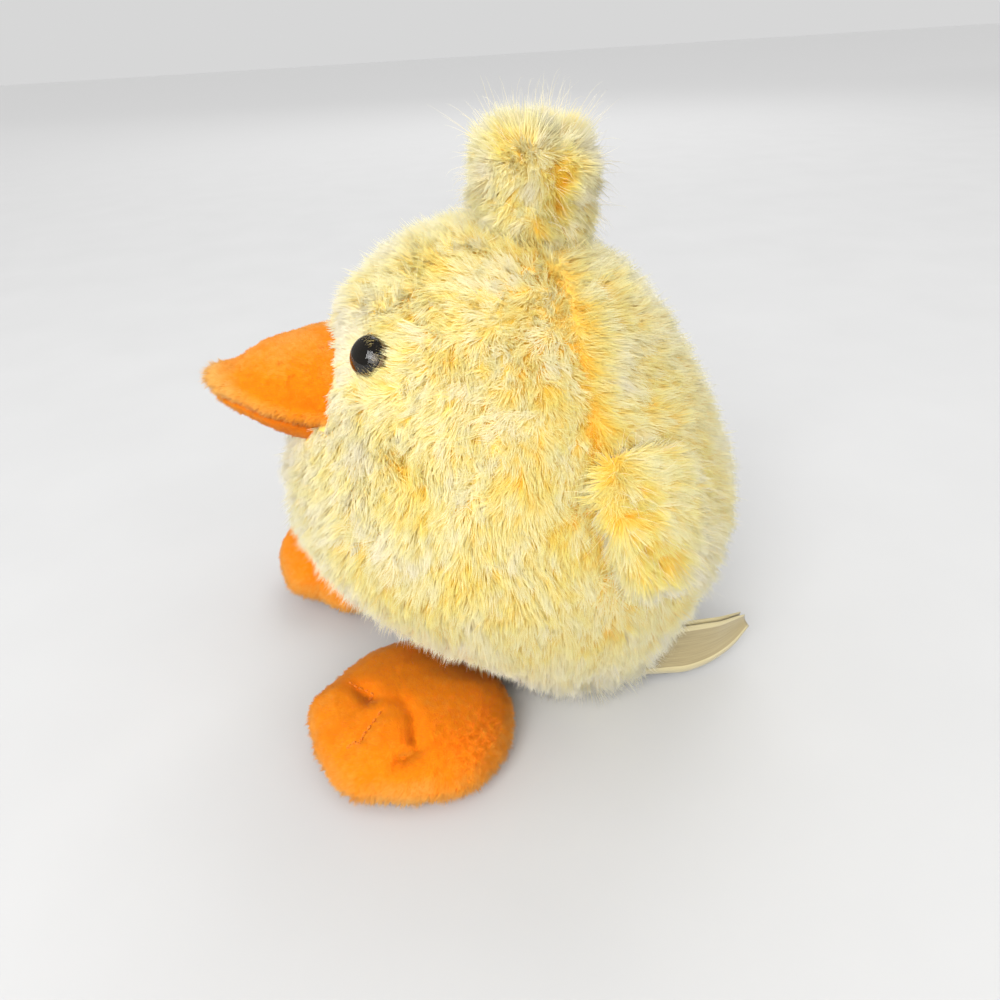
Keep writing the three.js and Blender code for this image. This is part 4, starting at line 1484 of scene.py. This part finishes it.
mesh = beak_cushion.data
places, arrows = points_of(mesh), normals_of(mesh)
height = over_mouth(places)
lips = 1 * MM * hill(height - 3 * MM, 2.2 * MM) - 2.2 * MM * hill(height, 1.1 * MM)
move_points(mesh, places + arrows * lips[:, None])
mesh = subdivide(beak_cushion)
places, arrows = points_of(mesh), normals_of(mesh)
height = over_mouth(places)
at_tip = smoothstep(-places[:, 1], 117 * MM, 129 * MM)
# Painted light on the beak: a paler colour along the lip's ridge and on surfaces facing up is painted
# highlight; a deeper colour in the mouth line and in the hollows at its sides is painted shade.
lip = hill(height - 3 * MM, 3 * MM)
mouth_shade = hill(height + 0.3 * MM, 1.6 * MM)
top_highlight = smoothstep(arrows[:, 2], 0.55, 1.0)
hollow_shade = sum(near(places, (sign * 24 * MM, -103 * MM, 131 * MM), 13 * MM) for sign in (1, -1))
dye = 0.5 + 0.07 * lumps(places, 16 * MM, 9) - 0.4 * lip - 0.4 * at_tip - 0.12 * top_highlight
set_fields(
    mesh,
    comb=np.tile([0.0, -1.0, -0.5], (len(places), 1)),
    dye=dye + 0.25 * hollow_shade + 0.5 * mouth_shade,
    cover=np.where(places[:, 1] > -80 * MM, 0.05, 1.0),
    reach=1 + 1.0 * lip + 0.8 * at_tip,
    lift=np.ones(len(places)),
)
sizes = {**VELOUR, "Fibres per area": 10.5e6, "Length": 1.3 * MM, "Seed": 40}
pile = grow("velour_beak", mesh.copy(), sizes)
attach(pile, "body")
mesh.materials.append(velour_ground)
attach(beak_cushion, "body")
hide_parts("beak_upper", "beak_lower", "beak_filling")

# Eyes


def spun(name, profile, sides=48):
    """A closed form turned about its own axis from (radius, height) pairs, between two poles."""
    angles = np.arange(sides) * 2 * math.pi / sides
    cosine, sine = np.cos(angles), np.sin(angles)
    rings = [
        np.stack([radius * cosine, radius * sine, 0 * angles + height], -1)
        for radius, height in profile[1:-1]
    ]
    return closed_rings(name, (0, 0, profile[0][1]), rings, (0, 0, profile[-1][1]))


def dome_profile(radius, height, foot):
    """Flat underneath, round over the top."""
    rise = [
        (radius * math.cos(a), foot + height * math.sin(a)) for a in np.linspace(0, math.pi / 2, 13)[:-1]
    ]
    return [(0, foot), (radius * 0.98, foot)] + rise + [(0, foot + height)]


def disc_profile(radius, low, high):
    return [(0, low), (radius, low), (radius, high), (0, high)]


for side, sign in SIDES.items():
    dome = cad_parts[f"{side}_eye_dome"].data
    middle = points_of(dome).mean(0)
    stem_points = points_of(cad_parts[f"{side}_eye_stem"].data)
    axis = Vector(middle - stem_points.mean(0)).normalized()
    heights = points_of(dome) @ np.array(axis)
    foot = heights.min()
    centre = Vector(middle) + axis * (foot - float(np.dot(middle, np.array(axis))))
    placed = Matrix.Translation(centre) @ upright_to(axis)
    lens = dome_profile(EYE_DIAMETER / 2, EYE_DOME_HEIGHT, foot=-0.4 * MM)
    pupil = disc_profile(PUPIL_DIAMETER / 2 + 0.6 * MM, low=0.1 * MM, high=0.5 * MM)
    iris = disc_profile(EYE_DIAMETER / 2 - 0.2 * MM, low=-0.3 * MM, high=0.05 * MM)
    for name, profile, material, slot, node in (
        ("lens", lens, amber_lens, "amber_dome", "dome"),
        ("pupil", pupil, black_plastic, "black_plastic", "pupil"),
        ("iris", iris, bronze_iris, "black_plastic", "stem"),
    ):
        made = link(f"{side}_eye_{name}", spun(f"{side}_eye_{name}", profile))
        made.data.transform(placed)
        made.data.materials.append(material)
        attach(made, "body")
        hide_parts(f"{side}_eye_{node}")

# Label: its lower and upper edges from the side seam to its free end, and what it was cut to

RIBBON_THICKNESS = 0.4 * MM
LEAF_CUP = 1.2 * MM
LEAF_STEPS, LEAF_ROWS = 40, 10
LEAVES = {
    "outer": (
        [(50.5, 8, 6), (49.5, 20, 4), (50, 28.5, 3), (51, 37.6, 3)]
        + [(49.5, 49, 4.5), (46.5, 59.5, 8), (43, 68, 14)],
        [(55, 8, 25), (51, 20, 25), (48, 30, 25), (47, 42.3, 24)]
        + [(46, 52.5, 22.5), (43.5, 60, 21), (41.5, 66.2, 19.5)],
        (20 * MM, 63 * MM),
    ),
    "middle": (
        [(48.7, 8, 6), (47.8, 20, 4.5), (48.2, 28.5, 3.8), (49, 37.6, 4)]
        + [(47.4, 49, 5.5), (44.6, 58.5, 9), (41.4, 66, 14)],
        [(53.5, 8, 25), (49, 20, 25.6), (46, 30, 25.6), (45, 42.3, 24.8)]
        + [(44, 52.5, 23.2), (42, 59, 21.6), (40, 65, 20)],
        (20 * MM, 61 * MM),
    ),
    "inner": (
        [(46.5, 8, 6), (45, 16, 5), (42.5, 24, 6), (39, 32, 8), (36, 38, 11)],
        [(51, 8, 25), (48, 16, 27), (45.5, 22, 28.5), (42, 29, 29), (38.5, 35, 28)],
        (20 * MM, 33 * MM),
    ),
}


def leaf(name, low_edge, high_edge):
    """A closed ribbon between two edges. Its flat places run along it and across it."""
    low, high = smooth_line(low_edge, LEAF_STEPS) * MM, smooth_line(high_edge, LEAF_STEPS) * MM
    across = np.linspace(0, 1, LEAF_ROWS)
    sheet = low[:, None] * (1 - across[None, :, None]) + high[:, None] * across[None, :, None]
    rise = np.gradient(sheet, axis=1)
    face = np.cross(np.gradient(sheet, axis=0), rise)
    face /= np.linalg.norm(face, axis=2)[..., None]
    cup = np.sin(math.pi * across)[None, :, None] * LEAF_CUP
    sheet = sheet - face * cup
    places = np.concatenate([(sheet + side * face * RIBBON_THICKNESS / 2).reshape(-1, 3) for side in (1, -1)])
    count = LEAF_STEPS * LEAF_ROWS

    def at(step, row, back=0):
        return back * count + step * LEAF_ROWS + row

    faces = []
    for i in range(LEAF_STEPS - 1):
        for j in range(LEAF_ROWS - 1):
            faces.append((at(i, j), at(i + 1, j), at(i + 1, j + 1), at(i, j + 1)))
            faces.append((at(i, j, 1), at(i, j + 1, 1), at(i + 1, j + 1, 1), at(i + 1, j, 1)))
        for j in (0, LEAF_ROWS - 1):
            faces.append((at(i, j), at(i, j, 1), at(i + 1, j, 1), at(i + 1, j)))
    for j in range(LEAF_ROWS - 1):
        for i in (0, LEAF_STEPS - 1):
            faces.append((at(i, j), at(i, j + 1), at(i, j + 1, 1), at(i, j, 1)))
    mesh = bpy.data.meshes.new(name)
    mesh.from_pydata(places.tolist(), [], faces)
    work = bmesh.new()
    work.from_mesh(mesh)
    bmesh.ops.recalc_face_normals(work, faces=work.faces)
    palette = work.loops.layers.uv.new("OFBake")
    for corner in (loop for face in work.faces for loop in face.loops):
        index = corner.vert.index % count
        corner[palette].uv = (index // LEAF_ROWS / (LEAF_STEPS - 1), index % LEAF_ROWS / (LEAF_ROWS - 1))
    work.to_mesh(mesh)
    work.free()
    mesh.shade_smooth()
    mesh.materials.append(satin_ribbon)
    return link(name, mesh)


for which, (low_edge, high_edge, flat) in LEAVES.items():
    made = leaf(f"label_{which}_ribbon", low_edge, high_edge)
    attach(made, "label")
    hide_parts(f"label_{which}_leaf")

# What the frame already gives well enough

CARRIED = {
    "pellet_pouch": calico,
    "pellet_fill": pellets,
    "left_eye_washer": nylon,
    "right_eye_washer": nylon,
}
for node, material in CARRIED.items():
    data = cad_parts[node].data
    data.materials.clear()
    data.materials.append(material)
